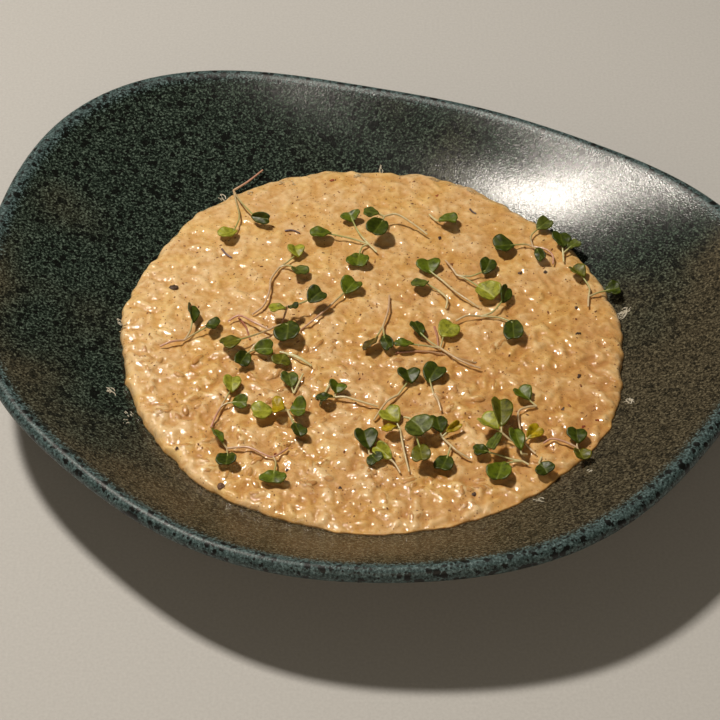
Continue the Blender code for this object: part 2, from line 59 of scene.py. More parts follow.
# Bowl: a turned coupe whose rings ease from a round well out to a pebble-shaped rim, as lobes
# (count, share of radius, degrees)
RIM_RADIUS = 0.1336
RIM_CENTRE = (-0.0065, -0.0002)
RIM_LOBES = ((2, 0.0873, -23.8), (3, 0.0505, 11.4), (4, 0.0196, 23.8), (5, 0.0075, -6.2), (6, 0.0148, 8.0))
WELL_CENTRE = (-0.0017, -0.0080)
WELL_RADIUS = 0.078
WALL_FLOOR = 0.009
WALL_DEPTH = 0.0352
WALL_POWER = 1.77
WALL_THICKNESS = 0.0050
LIP_RADIUS = 0.0031
LIP_INSET = 0.0008
LIP_SWELL = 0.0012
LIP_TILT = math.atan(WALL_POWER * WALL_DEPTH / RIM_RADIUS)
FOOT_RADIUS = 0.050
FOOT_WIDTH = 0.0050
FOOT_FILLET = 0.0060
FOOT_RECESS = 0.0035
FOOT_STEP = 0.0015
# Glaze over its grain, as (position, sRGB hex): its body, its brown pool at the front, which also holds
# painted light, and its thin lip
GREEN_GLAZE = ((0.36, "050806"), (0.47, "151E18"), (0.55, "2F3B32"), (0.66, "627265"))
BROWN_GLAZE_AND_PAINTED_LIGHT = ((0.34, "17140F"), (0.46, "393427"), (0.56, "554E3D"), (0.70, "7E765F"))
TEAL_GLAZE = ((0.32, "121A1A"), (0.45, "334342"), (0.57, "4E6262"), (0.70, "74898A"))
BARE_CLAY = ((0.3, "6F5B49"), (0.7, "9A836A"))
IRON = "0A0C0A"
# Dark iron specks of the glaze: spacing, and least and most reach as a share of it
GLAZE_SPECKS = ((0.0032, 0.44, 0.82), (0.0014, 0.40, 0.66))
INNER_RINGS = 60
OUTER_RINGS = 30
LIP_STEPS = 16

# Risotto: plan outline, levels, and the bed of grains that lifts its top
FOOD_RADIUS = 0.0919
FOOD_LOBES = ((2, 0.026, -61.0), (3, 0.005, 0.0), (7, 0.006, 20.0), (11, 0.005, 5.0), (19, 0.0024, 3.0),
              (31, 0.0028, 7.0), (47, 0.0024, 2.0), (73, 0.0019, 1.0), (109, 0.0011, 2.0))
FOOD_LEVEL = 0.0294
FOOD_MOUND = 0.0009
EDGE_ROUND = 0.0040
EDGE_FILM = 0.0005
EDGE_CALM = 0.0012
# Painted sheen along the food's edge: width of the band, then how much paler it is painted
EDGE_SHEEN_BAND = 0.0050
EDGE_PAINTED_SHEEN = 0.36
GAP = 0.0003
SKIRT_REACH = 1.003
SKIRT_SINK = 0.00010
BED_STEP = 0.0004
CORE_RINGS = 150
# Cream over the grains and the skin of a grain as sRGB, from hollow to peak, then butter and crumbs in both
CREAM_TONES = ("C08B50", "D5A769", "ECCB98")
GRAIN_TONES = ("C28E54", "D8AA6E", "EDCD9C")
BUTTER = "FFFBE4"
CRUMB = "86522A"
# Grains: how far they stray from an even spiral in lengths, their rise as a beta draw, how much of it the
# lowest lack and wet patches take, least and most length and width as a share of the usual ones, height as
# a share of width, bend, and how softly the cream closes over them
GRAIN_SCATTER = 0.2
RISE_DRAW = (1.6, 1.3)
RISE_SINK = 0.12
PATCH_SINK = 0.45
GRAIN_LENGTHS = (0.85, 1.12)
GRAIN_WIDTHS = (0.88, 1.1)
GRAIN_FLATNESS = 0.85
GRAIN_BEND = 0.12
GRAIN_BLEND = 0.0011
# A grain shows its own skin above this share of the highest rise, and this many lengths inside the edge
SHOWING_RISE = 0.62
SHOWING_MARGIN = 0.6
# Lumps of the cream itself: width and height
CURDS = ((0.0064, 0.00030), (0.0031, 0.00024), (0.0017, 0.00018))
# The cream lies thicker between these places from front to back, and calms this share of the relief
POOL_START = -0.030
POOL_END = 0.066
POOL_CALM = 0.55

# Cracked pepper: least width, spread of widths and tones as sRGB
PEPPER_WIDTH = 0.00016
PEPPER_SPREAD = 0.00034
PEPPER_TONES = ("7A4828", "9A6034", "B07846", "B88450", "865430")

# Grated cheese: scatter of the strands of a place in millimetres, their share of its length, their bend,
# radius and hump, and their tones on the wall and on the food
STRAND_SCATTER = 1.3
STRAND_LENGTHS = (0.10, 0.55)
STRAND_BEND = 0.6
STRAND_RADII = (0.00012, 0.00024)
STRAND_HUMP = 0.0004
DRY_CHEESE = "D6D0BF"
MELTED_CHEESE = "EBD3A6"

# Sprigs
STEM_RADIUS = 0.00042
PETIOLE_RADIUS = 0.00034
STEM_ARCH = 0.0008
STEM_CLEAR = 0.0011
LEAF_THICKNESS = 0.00042
LEAF_WAVE = 0.00032
LEAF_NOTCH = 0.28
LEAF_PINCH = 0.42
# Least and most cup, fold and droop of a leaf as a share of its half width, and its lopsidedness
LEAF_CUPS = (-0.14, 0.22)
LEAF_FOLDS = (0.15, 0.55)
LEAF_DROOPS = (-0.02, 0.10)
LEAF_SKEW = 0.08
LEAF_RINGS = 7
LEAF_SPOKES = 40
PETIOLE_REACH = 0.0016
TIP_RISE = 0.0006

# Leaf tones as sRGB: fresh dark upper sides, paler undersides, and a few yellowed or bruised leaves
TONES = {"dark": "44520A", "mid": "687816", "pale": "AEB03E", "grey": "66722E", "olive": "70701A",
         "yellow": "C4A814", "brown": "685624"}
# Mottle over the tone as (position, sRGB hex), partly the leaf's own blotching and partly painted
# shade and sheen, and the tone of the veins
LEAF_MOTTLE_AND_SHADE = ((0.32, "8C8E6C"), (0.5, "D6D6B8"), (0.7, "FFFFF2"))
LEAF_VEIN = "A8AC48"
# Stems: a blushing root, a pale one, the stalk at the leaf, and the share of the blush left at the fork
STEM_ROOT = "D69E8C"
STEM_PALE = "E2DAA8"
STEM_GREEN = "A2B060"
FORK_BLUSH = 0.6

# One row per sprig in plan millimetres: lift over the food, blush of its root (0 pale to 1 red), stem from
# root to fork, and its leaves as petiole points after the fork, tip, width, roll in degrees and tone. A leaf
# that leaves the stem before its end says at which point
Sprig = namedtuple("Sprig", "lift blush stem leaves")
Leaf = namedtuple("Leaf", "petiole tip width roll tone fork", defaults=(-1,))
SPRIGS = {
    "a": Sprig(0.0, 0.9, [(-43.5, 83.5), (-49, 77), (-54.5, 73)], [
        Leaf([(-53, 63.5), (-51.5, 54.5), (-52, 46.5)], (-59, 42.5), 7.5, 12, "pale"),
        Leaf([(-51.5, 63.5), (-47, 53.5)], (-39, 51), 5, 50, "dark")]),
    "b": Sprig(0.0, 0.9, [(-77.5, -14.5), (-73.5, -13), (-69, -11.5)], [
        Leaf([(-67, -8), (-66, -4.5)], (-67.5, 5), 5.5, 45, "dark"),
        Leaf([(-65.5, -9), (-61.5, -5)], (-56.5, -6.5), 9, -15, "dark")]),
    "c": Sprig(0.0, 0.6, [(-45, 1.5), (-41, 5.5), (-39, 13), (-38.5, 20), (-35.5, 27)], [
        Leaf([(-32.5, 29.5), (-29, 31.5)], (-30.5, 38), 7, 10, "pale"),
        Leaf([(-32.5, 27), (-30, 25.5)], (-26.5, 20), 8, -20, "grey")]),
    "d_top": Sprig(3.6, 1.0, [(-34, -4.5), (-32, 2)], [
        Leaf([(-28.5, 2.5), (-24.5, 3.5)], (-19, 9), 8.5, 10, "dark"),
        Leaf([(-32.5, -0.5)], (-39, -2), 7, 20, "pale"),
        Leaf([(-31.5, 0.5)], (-28.5, -1), 6, -20, "dark")]),
    "d_mid": Sprig(1.5, 1.0, [(-53.5, -2.5), (-49.5, -0.5), (-44, -4.5), (-38.5, -8)], [
        Leaf([(-34.5, -6), (-31.5, -5)], (-32, -16), 10.5, 10, "dark"),
        Leaf([(-44, -11.5), (-48.5, -14)], (-55.5, -18), 9, 15, "olive")]),
    "d_low": Sprig(0.0, 0.3, [(-41, -12), (-43, -14.5), (-45, -17.5)], [
        Leaf([(-43.5, -17.6)], (-36, -18), 7, 25, "mid"),
        Leaf([(-46, -19)], (-49, -27), 6.5, -20, "dark")]),
    "d_right": Sprig(0.0, 0.0, [(-23, -25), (-27.5, -22), (-32, -19)], [
        Leaf([(-33, -20)], (-34.5, -26), 8, -10, "olive")]),
    "d_foot": Sprig(0.0, 0.0, [(-26, -29), (-27, -33), (-29, -38.5)], [
        Leaf([(-30, -36.5)], (-31.5, -29), 7, 15, "grey")]),
    "e": Sprig(0.0, 0.0, [(0.5, 35), (-2.5, 39.5)], [
        Leaf([(-9, 42), (-16.5, 44.5)], (-25, 42.5), 8, 15, "mid"),
        Leaf([(-6, 45), (-8.5, 51.5)], (-10, 56.5), 8.5, -10, "mid"),
        Leaf([(-5, 37.5), (-6, 33.5)], (-7, 25.5), 9.5, 5, "mid")]),
    "f": Sprig(3.0, 0.2, [(19.5, 44), (13.5, 49.5), (8, 53), (3.5, 52)], [
        Leaf([(1.5, 52.3)], (-5, 53), 7.5, 15, "grey"),
        Leaf([(3, 49)], (-1.5, 39), 9, -10, "dark")]),
    "h": Sprig(0.0, 0.7, [(-27.5, -7), (-21, -0.5), (-15.5, 7.5)], [
        Leaf([(-11.5, 12)], (-7, 19), 9, 5, "mid")]),
    "j_left": Sprig(0.0, 0.3, [(37.5, 5), (34, 8), (29, 13), (25, 19)], [
        Leaf([(20, 23)], (19, 31), 10, 0, "mid")]),
    "j_right": Sprig(0.0, 0.1, [(25.5, 4.5), (26, 9), (23, 14)], [
        Leaf([(19.5, 17.5)], (13, 14.5), 7, 20, "grey")]),
    "k": Sprig(0.0, 0.0, [(20.5, 56.5), (23, 53)], [
        Leaf([(24, 52)], (31.5, 50.5), 8.5, -14, "mid")]),
    "l": Sprig(0.0, 0.5, [(26, 30.5), (28, 26), (30, 22.5)], [
        Leaf([(33.5, 20), (37.5, 16)], (44.5, 8), 10.5, 5, "pale"),
        Leaf([(35, 21.5), (40, 22.5)], (43, 30.5), 7, 10, "dark")]),
    "n_left": Sprig(0.0, 0.6, [(5, 11.5), (4.5, 3), (2.5, -5)], [
        Leaf([(0.5, -12)], (-4, -19.5), 5.5, 35, "brown"),
        Leaf([(2.5, -11)], (5.5, -19), 5, 30, "dark")]),
    "n_right": Sprig(0.0, 0.5, [(37, -26), (31.5, -24), (27, -20.5), (23, -16)], [
        Leaf([(18, -15.5), (13.5, -15)], (6, -16.5), 6, 20, "mid"),
        Leaf([(19.5, -13.5), (16.5, -11)], (13.5, -3.5), 6, 20, "dark"),
        Leaf([(23.5, -11)], (28.5, -4), 9, 10, "pale")]),
    "o": Sprig(0.0, 0.9, [(66, 29), (66, 33), (63.5, 36.5), (59, 38.5)], [
        Leaf([(56, 39.5), (52, 38.5)], (43.5, 37), 10.5, 5, "dark"),
        Leaf([(60, 36)], (62.5, 28.5), 4.5, 40, "dark"),
        Leaf([(58.5, 44), (61, 47.5)], (66.5, 53), 6.5, 10, "grey")]),
    "p": Sprig(0.5, 0.0, [(70, 30), (70, 34.5)], [
        Leaf([(70, 36.5)], (69, 45), 8, 15, "dark"),
        Leaf([(72, 36.5)], (76.5, 40), 6, -10, "grey")]),
    "q": Sprig(0.0, 0.4, [(77.5, 6), (78, 11.5)], [
        Leaf([(78.5, 16), (77, 20.5)], (72, 26), 7.5, 15, "olive"),
        Leaf([(81.5, 13.5), (84.5, 15.5)], (90.5, 16), 8, 0, "dark")]),
    "t": Sprig(0.0, 0.3, [(29, -2), (33, 0), (38, 0.5)], [
        Leaf([(42.5, 2), (46, 6)], (48.5, 14.5), 5.5, 40, "dark"),
        Leaf([(44.5, -0.5), (49.5, -2)], (49.5, -14), 8, 10, "dark")]),
    "u": Sprig(0.0, 1.0, [(-57.5, -54.5), (-56, -50), (-54.5, -45)], [
        Leaf([(-51, -38.5)], (-51, -30.5), 7, 10, "pale"),
        Leaf([(-52.5, -43.8), (-50.5, -43.5)], (-44.5, -44.5), 6, 20, "mid")]),
    "v": Sprig(0.8, 0.2, [(-28, -56), (-30, -51), (-31, -47.5)], [
        Leaf([(-33.5, -48), (-36, -48)], (-44, -49.5), 9.5, 5, "pale"),
        Leaf([(-32, -47.5)], (-37, -47.5), 10.5, 10, "yellow"),
        Leaf([(-30, -48)], (-24, -48.5), 9, 10, "mid"),
        Leaf([(-29.5, -52), (-28.5, -55)], (-26, -62), 6.5, -20, "dark")]),
    "w": Sprig(0.0, 0.2, [(0.5, -45), (-6, -43), (-11, -41), (-14.5, -40.5)], [
        Leaf([(-14.5, -39.5)], (-13.5, -34.5), 7, 20, "mid"),
        Leaf([(-15.5, -41)], (-20.5, -44.5), 6.5, 25, "dark")]),
    "x": Sprig(0.0, 0.9, [(-30.5, -64.5), (-35.5, -69), (-39.5, -67.5), (-44.5, -64.5), (-51.5, -64.5)], [
        Leaf([(-53, -63.5)], (-57, -57), 4.5, 40, "mid"),
        Leaf([(-51, -67.5)], (-51.5, -74.5), 8, 10, "dark"),
        Leaf([(-34.5, -72), (-35, -75.5)], (-35.5, -82), 10.5, 5, "mid", fork=1)]),
    "y_left": Sprig(0.0, 0.3, [(-1, -51.5), (3.5, -43.5), (7.5, -39.5)], [
        Leaf([(12, -34.5)], (10.5, -27.5), 9, 10, "dark")]),
    "y_right": Sprig(0.0, 0.4, [(22.5, -47), (21.5, -42.5), (20, -38.5)], [
        Leaf([(18, -33.5)], (22.5, -25), 9, 5, "dark")]),
    "z_left": Sprig(0.0, 0.3, [(8, -76), (5.5, -71.5), (1.5, -69), (-2.5, -67.5)], [
        Leaf([(-2.8, -66)], (-5, -56.5), 9, 10, "dark"),
        Leaf([(-2, -68.5)], (0.5, -73), 7, 15, "dark"),
        Leaf([(5, -70.5)], (-1, -64.5), 6, -20, "pale", fork=1)]),
    "z_mid": Sprig(0.0, 0.2, [(11, -75.5), (9.5, -67.5), (8.5, -60), (8, -55.5)], [
        Leaf([(7.5, -53)], (2, -47), 9, 5, "pale"),
        Leaf([(7, -56)], (2.5, -59.5), 6.5, 30, "yellow")]),
    "z_top": Sprig(3.6, 0.1, [(9.5, -51), (11.5, -54)], [
        Leaf([(12, -55)], (17, -63), 12, 5, "grey"),
        Leaf([(13, -60.5), (14.5, -67)], (15.5, -76), 7.5, 10, "olive")]),
    "z_right": Sprig(0.0, 0.3, [(32, -69.5), (28, -67), (25.5, -64), (22.5, -59.5)], [
        Leaf([(22, -58)], (20.5, -50), 7.5, 10, "dark"),
        Leaf([(24.5, -68.5)], (21.5, -76.5), 7.5, 5, "dark", fork=2),
        Leaf([(24, -58)], (29.5, -54), 3.5, 35, "yellow")]),
    "aa_left": Sprig(0.0, 0.1, [(52, -72), (50, -70.5)], [
        Leaf([(46.5, -71), (43, -71.5)], (40.5, -81), 9.5, 5, "mid"),
        Leaf([(45.5, -69.5), (41.5, -68), (38.5, -66.5)], (32.5, -67), 6.5, 10, "dark")]),
    "aa_mid": Sprig(3.0, 0.2, [(46.5, -62), (43, -60)], [
        Leaf([(42, -59.5)], (35, -54), 8.5, 10, "pale"),
        Leaf([(43, -58)], (43, -44.5), 8.5, 15, "olive"),
        Leaf([(42.5, -61)], (38.5, -70), 5, 20, "grey")]),
    "aa_top": Sprig(2.6, 0.1, [(51.5, -68), (49.5, -69.5)], [
        Leaf([(49, -68.5)], (47, -58), 6, 15, "mid")]),
    "aa_right": Sprig(0.0, 0.4, [
        (54.5, -67), (51, -62), (49.5, -54), (49.5, -48), (52.5, -45.5), (56, -44.5)], [
        Leaf([(53.5, -42.5)], (49, -37), 8, 10, "mid"),
        Leaf([(52, -60.5)], (57, -55.5), 6, 15, "yellow", fork=1)]),
    "aa_foot": Sprig(0.0, 0.1, [(56.5, -68.5), (55.5, -71)], [
        Leaf([(55.8, -72)], (58.5, -77.5), 8, 5, "dark")]),
    "ab": Sprig(0.0, 0.9, [(57.5, -62), (60.5, -60.5), (65, -62), (69, -64)], [
        Leaf([(69, -62.5)], (69, -55.5), 8, 10, "dark"),
        Leaf([(69.3, -65.5)], (70.5, -71.5), 7, -15, "olive")]),
}

# Loose stems that lost their leaves: plan points in millimetres, radius and root-to-tip colours
LOOSE_STEMS = (
    ([(-15.3, -31.3), (-17.8, -36.7), (-19.8, -43.1)], 0.55, "D9D2A0", "C9C48A"),
    ([(-49.8, 0.3), (-47.1, -4.4), (-45.4, -10.6)], 0.42, "A25A44", "B97F63"),
    ([(6.8, -17.8), (19.3, -17.3), (35.3, -21.8)], 0.40, "BC8468", "C9A878"),
    ([(-34.5, -16.7), (-28.3, -19.3), (-23.2, -24.3)], 0.50, "D8D39A", "C6BE82"),
    ([(21.1, -4.4), (22.0, -9.1), (22.3, -14.2)], 0.42, "BE7E6C", "C89A80"),
)

# Shreds that melted into the sauce: purple-brown mushroom gills
GILL_SHREDS = (
    ([(-34.1, 48.6), (-31.2, 48.4), (-28.4, 46.9)], 0.35, "6B4A50", "7C5A58"),
    ([(-57.5, 38.0), (-55.8, 35.4), (-53.6, 33.5)], 0.40, "7A5960", "8A6A66"),
    ([(36.2, 61.1), (37.0, 59.6), (38.4, 58.3)], 0.38, "5E4648", "6F5450"),
)

# Mushroom pieces: plan place, length and width in millimetres, turn in degrees, colour
MUSHROOM_BITS = (
    (-74.4, 17.2, 3.6, 2.4, 10, "62482E"), (-53.0, -80.3, 2.8, 2.5, 70, "8A6850"),
    (32.9, -84.4, 1.9, 1.7, 40, "5E4230"), (73.1, -7.0, 2.0, 1.1, 10, "54402E"),
    (73.2, 6.6, 1.2, 1.1, 0, "5C4432"), (53.6, 25.3, 1.9, 1.5, 60, "6A4A30"),
    (62.9, 25.3, 1.6, 1.3, 20, "5A4636"), (72.0, -28.8, 1.5, 1.1, 45, "5A4030"),
    (65.4, -44.6, 1.3, 1.1, 80, "5A402E"), (-68.9, -63.7, 1.5, 1.2, 30, "6A4C34"),
    (-20.5, -39.7, 2.1, 1.6, 15, "4C3A2E"), (24.4, 44.1, 1.8, 1.3, 120, "543A28"),
    (-30.7, -73.5, 1.3, 1.0, 60, "62463A"), (-12.5, -81.7, 1.3, 1.0, 10, "5C4234"),
)

# Flecks of chilli in the same form
CHILLI_FLECKS = (
    (-16.6, 78.0, 1.7, 1.2, 30, "B4521E"), (23.8, 69.2, 1.2, 0.9, 80, "C0662C"),
    (71.9, -52.8, 1.6, 0.9, 60, "A8401C"), (77.0, -49.9, 1.1, 0.8, 10, "B5562A"),
    (-34.7, -66.0, 1.2, 0.8, 40, "C26A28"),
)

# Grated cheese on the bare wall and over the food's edge, as short strands in plan millimetres
CHEESE_STRANDS = (
    ((-61.1, 72.2), (-56.3, 68.1)), ((-49.5, 71.0), (-46.4, 69.9)), ((-37.4, 76.3), (-35.1, 76.9)),
    ((-32.4, 76.9), (-30.0, 76.3)), ((-9.6, 80.5), (-5.0, 79.9)), ((1.6, 83.4), (2.2, 89.6)),
    ((21.3, 78.1), (25.2, 79.3)), ((30.9, 75.7), (34.7, 74.0)), ((34.2, 72.8), (39.2, 71.0)),
    ((-96.0, 3.4), (-92.2, 0.3)), ((-94.2, -1.8), (-89.8, -2.8)), ((-95.9, -32.8), (-91.7, -36.2)),
    ((-94.6, -35.2), (-93.0, -33.3)), ((-88.0, -43.6), (-85.8, -46.0)), ((-88.7, -49.4), (-87.3, -49.4)),
    ((87.4, 7.1), (94.7, 8.2)), ((88.1, 2.4), (93.8, 9.8)), ((86.4, -38.2), (90.4, -41.1)),
    ((87.9, -37.2), (89.3, -41.6)), ((53.3, -87.1), (56.6, -88.5)), ((71.3, -75.3), (73.3, -75.3)),
)

# Stage: turn of the camera's side, height and side of the fill softbox, and tints as sRGB
FRONT = math.pi
FILL_ELEVATION = math.radians(34.0)
FILL_SIZE = 0.6
KEY_TINT = "FFF6EA"
FILL_TINT = "FFECD2"
SURROUND_TINT = "E8DFCC"


# Colours, nodes and trees

def linear(code):
    """Linear colour with alpha from an sRGB hex value."""
    levels = [int(code[start:start + 2], 16) / 255.0 for start in (0, 2, 4)]
    return (*[level / 12.92 if level <= 0.04045 else ((level + 0.055) / 1.055) ** 2.4
              for level in levels], 1.0)


def feed(tree, node, inputs):
    """Links or sets a node's inputs by name or number."""
    for name, value in inputs.items():
        if isinstance(value, bpy.types.Node):
            value = value.outputs[0]
        if isinstance(value, bpy.types.NodeSocket):
            tree.links.new(value, node.inputs[name])
        else:
            node.inputs[name].default_value = value


def add(tree, kind, inputs=None, stops=(), **settings):
    """Adds a node with its settings, its inputs, and a ramp's stops as (position, sRGB hex)."""
    node = tree.nodes.new(kind)
    for name, value in settings.items():
        setattr(node, name, value)
    feed(tree, node, inputs or {})
    if stops:
        elements = node.color_ramp.elements
        while len(elements) < len(stops):
            elements.new(0.5)
        for element, (position, code) in zip(elements, stops):
            element.position = position
            element.color = linear(code)
    return node


def new_tree(name, sockets):
    """A geometry tree with named inputs, and its input node."""
    tree = bpy.data.node_groups.new(name, "GeometryNodeTree")
    tree.interface.new_socket("Geometry", in_out="INPUT", socket_type="NodeSocketGeometry")
    for label, kind in sockets:
        tree.interface.new_socket(label, in_out="INPUT", socket_type="NodeSocket" + kind)
    tree.interface.new_socket("Geometry", in_out="OUTPUT", socket_type="NodeSocketGeometry")
    return tree, tree.nodes.new("NodeGroupInput").outputs


def close_tree(tree, geometry, material):
    """Ends a geometry tree with smooth shading, Realize Instances and Set Material."""
    smooth = add(tree, "GeometryNodeSetShadeSmooth", {"Geometry": geometry})
    real = add(tree, "GeometryNodeRealizeInstances", {"Geometry": smooth})
    painted = add(tree, "GeometryNodeSetMaterial", {"Geometry": real, "Material": material})
    add(tree, "NodeGroupOutput", {0: painted})


def evaluated(obj):
    """The plain mesh that an object has after its modifiers."""
    bpy.context.view_layer.update()
    graph = bpy.context.evaluated_depsgraph_get()
    return bpy.data.meshes.new_from_object(
        obj.evaluated_get(graph), preserve_all_data_layers=True, depsgraph=graph)


def grow(obj, tree, values):
    """Runs a geometry tree on an object with its named inputs set, and keeps the result as its mesh."""
    modifier = obj.modifiers.new(tree.name, "NODES")
    modifier.node_group = tree
    for item in tree.interface.items_tree:
        if item.in_out == "INPUT" and item.name in values:
            modifier[item.identifier] = values[item.name]
    mesh = evaluated(obj)
    if not mesh.polygons:
        raise RuntimeError(f"{obj.name}: the tree {tree.name} made no faces")
    mesh.materials.clear()
    mesh.materials.append(values["Material"])
    mesh.polygons.foreach_set("material_index", np.zeros(len(mesh.polygons), dtype=np.int32))
    obj.modifiers.clear()
    obj.data = mesh
    return obj


def new_piece(name, mesh):
    """A scene object for a mesh whose place is in its points."""
    piece = bpy.data.objects.new(name, mesh)
    bpy.context.scene.collection.objects.link(piece)
    return piece


def declare(piece, slot, *nodes):
    """Rides the piece on the dish and hides the solids that it stands for. The slot is not used."""
    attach(piece, BODY)
    if nodes:
        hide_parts(*nodes)


def new_material(name):
    """A material and its tree, with the Principled BSDF of the new material."""
    material = bpy.data.materials.new(name)
    material.use_nodes = True
    return material, material.node_tree, material.node_tree.nodes["Principled BSDF"]


def store(mesh, name, kind, values):
    """Stores one value for each point of a mesh as a named attribute."""
    attribute = mesh.attributes.new(name, kind, "POINT")
    field = {"FLOAT": "value", "FLOAT_VECTOR": "vector", "FLOAT_COLOR": "color"}[kind]
    attribute.data.foreach_set(field, np.asarray(values, dtype=np.float32).ravel())


# Shapes shared by the bowl, the rice and what lies on it

def lobed(lobes, angle):
    """Radius of a lobed outline as a share of its mean radius."""
    return 1.0 + sum(share * np.cos(count * (angle - math.radians(turn))) for count, share, turn in lobes)


def smooth_step(value):
    """Eases from 0 to 1 while the value goes from 0 to 1."""
    value = np.clip(value, 0.0, 1.0)
    return value * value * (3.0 - 2.0 * value)


def wall_profile(radius):
    """Height of the bowl's inner surface on a ring of the turned bowl."""
    return WALL_FLOOR + WALL_DEPTH * (radius / RIM_RADIUS) ** WALL_POWER


def wall_height(x, y):
    """Height of the bowl's inner surface at plan places, found by undoing the easing step by step."""
    radius = np.hypot(x - WELL_CENTRE[0], y - WELL_CENTRE[1])
    for _ in range(10):
        share = smooth_step((radius - WELL_RADIUS) / (RIM_RADIUS - WELL_RADIUS))
        arm_x = x - WELL_CENTRE[0] - share * (RIM_CENTRE[0] - WELL_CENTRE[0])
        arm_y = y - WELL_CENTRE[1] - share * (RIM_CENTRE[1] - WELL_CENTRE[1])
        reach = 1.0 + share * (lobed(RIM_LOBES, np.arctan2(arm_y, arm_x)) - 1.0)
        radius = np.hypot(arm_x, arm_y) / reach
    return wall_profile(radius)


def from_edge(x, y):
    """How far plan places lie inside the risotto's edge, towards its centre."""
    arm_x = x - WELL_CENTRE[0]
    arm_y = y - WELL_CENTRE[1]
    return FOOD_RADIUS * lobed(FOOD_LOBES, np.arctan2(arm_y, arm_x)) - np.hypot(arm_x, arm_y)


def food_skin(x, y):
    """Smooth top of the risotto under its grains: level, low mound and rounded edge."""
    inside = from_edge(x, y)
    reach = np.hypot(x - WELL_CENTRE[0], y - WELL_CENTRE[1])
    level = FOOD_LEVEL + FOOD_MOUND * (1.0 - np.clip(reach / (reach + inside), 0.0, 1.0) ** 2)
    rounding = np.sqrt(1.0 - (1.0 - np.clip(inside / EDGE_ROUND, 0.0, 1.0)) ** 2)
    edge_height = wall_height(x, y) + GAP + EDGE_FILM
    return edge_height + np.maximum(level - edge_height, 0.0) * rounding


def smooth_max(first, second, width):
    """Larger of two heights, eased over a width where they meet."""
    share = np.clip(0.5 + 0.5 * (first - second) / width, 0.0, 1.0)
    return second + (first - second) * share + width * share * (1.0 - share)


Bed = namedtuple("Bed", "low relief grains")
Grain = namedtuple("Grain", "x y turn proud half_length half_width half_height")
_bed = {}


def pooled(x, y):
    """Share of grains that the sauce hides at a plan place: it lies thicker at the back, with tongues."""
    tongues = 0.007 * np.sin(x / 0.0115 + 1.0) + 0.005 * np.sin(x / 0.0047 + y / 0.009)
    return smooth_step((y + tongues - POOL_START) / (POOL_END - POOL_START))


def value_noise(draw, count, cell):
    """Smooth seeded noise from -1 to 1 on the bed's grid, with lumps of a given width."""
    places = np.arange(count) * BED_STEP / cell
    knots = draw.uniform(-1.0, 1.0, (int(places[-1]) + 2, int(places[-1]) + 2))
    low = np.floor(places).astype(int)
    share = smooth_step(places - low)
    rows = knots[low] * (1.0 - share)[:, None] + knots[low + 1] * share[:, None]
    return rows[:, low] * (1.0 - share) + rows[:, low + 1] * share


def rice_bed(settings):
    """Relief of the grains over the smooth top on a fine grid, and the grains that make it."""
    draw = np.random.default_rng(settings.seed)
    low = -1.08 * FOOD_RADIUS
    count = int(-2.0 * low / BED_STEP)
    axis = low + BED_STEP * np.arange(count)
    relief = np.zeros((count, count))
    golden = math.pi * (3.0 - math.sqrt(5.0))
    grains = []
    for index in range(settings.grain_count):
        reach = FOOD_RADIUS * math.sqrt((index + 0.5) / settings.grain_count)
        reach += draw.uniform(-1.0, 1.0) * settings.grain_length * GRAIN_SCATTER
        angle = index * golden + draw.uniform(-0.03, 0.03)
        x = reach * math.cos(angle)
        y = reach * math.sin(angle)
        turn = draw.uniform(0.0, math.pi)
        length = settings.grain_length * draw.uniform(*GRAIN_LENGTHS) / 2.0
        width = settings.grain_width * draw.uniform(*GRAIN_WIDTHS) / 2.0
        height = width * GRAIN_FLATNESS
        drowned = 0.5 + 0.5 * math.sin((x * 0.8 + y * 0.6) / 0.045 + 0.6)
        patch = 0.5 + 0.5 * math.sin(x / 0.011 + 2.0 * math.sin(y / 0.017)) * math.cos(y / 0.013)
        proud = draw.beta(*RISE_DRAW) * (1.0 - PATCH_SINK * drowned * patch) - RISE_SINK
        proud *= settings.grain_rise
        proud *= 1.0 - POOL_CALM * float(pooled(x, y))
        grains.append(Grain(x, y, turn, proud, length, width, height))
        if proud <= 0.0:
            continue
        first = max(int((x - length - low) / BED_STEP), 0)
        last = min(int((x + length - low) / BED_STEP) + 2, count)
        left = max(int((y - length - low) / BED_STEP), 0)
        right = min(int((y + length - low) / BED_STEP) + 2, count)
        if first >= last or left >= right:
            continue
        away_x = axis[first:last, None] - x
        away_y = axis[None, left:right] - y
        along = away_x * math.cos(turn) + away_y * math.sin(turn)
        across = away_y * math.cos(turn) - away_x * math.sin(turn) - GRAIN_BEND * along ** 2 / length
        inside = np.clip(1.0 - (along / length) ** 2 - (across / width) ** 2, 0.0, 1.0)
        bump = proud - height * (1.0 - np.sqrt(inside))
        patch_of_bed = relief[first:last, left:right]
        relief[first:last, left:right] = np.where(
            inside > 0.0, smooth_max(bump, patch_of_bed, GRAIN_BLEND), patch_of_bed)
    for _ in range(settings.sauce_coats):
        relief[1:-1, 1:-1] = (relief[1:-1, 1:-1] * 4.0 + relief[:-2, 1:-1] + relief[2:, 1:-1]
                              + relief[1:-1, :-2] + relief[1:-1, 2:]) / 8.0
    calm = 1.0 - POOL_CALM * pooled(axis[:, None], axis[None, :])
    for cell, height in CURDS:
        relief += height * value_noise(draw, count, cell) * calm
    return Bed(low, relief, grains)


def the_bed():
    """The rice bed of the current settings, made once."""
    if "bed" not in _bed:
        _bed["bed"] = rice_bed(bpy.context.scene.risotto_rice)
    return _bed["bed"]


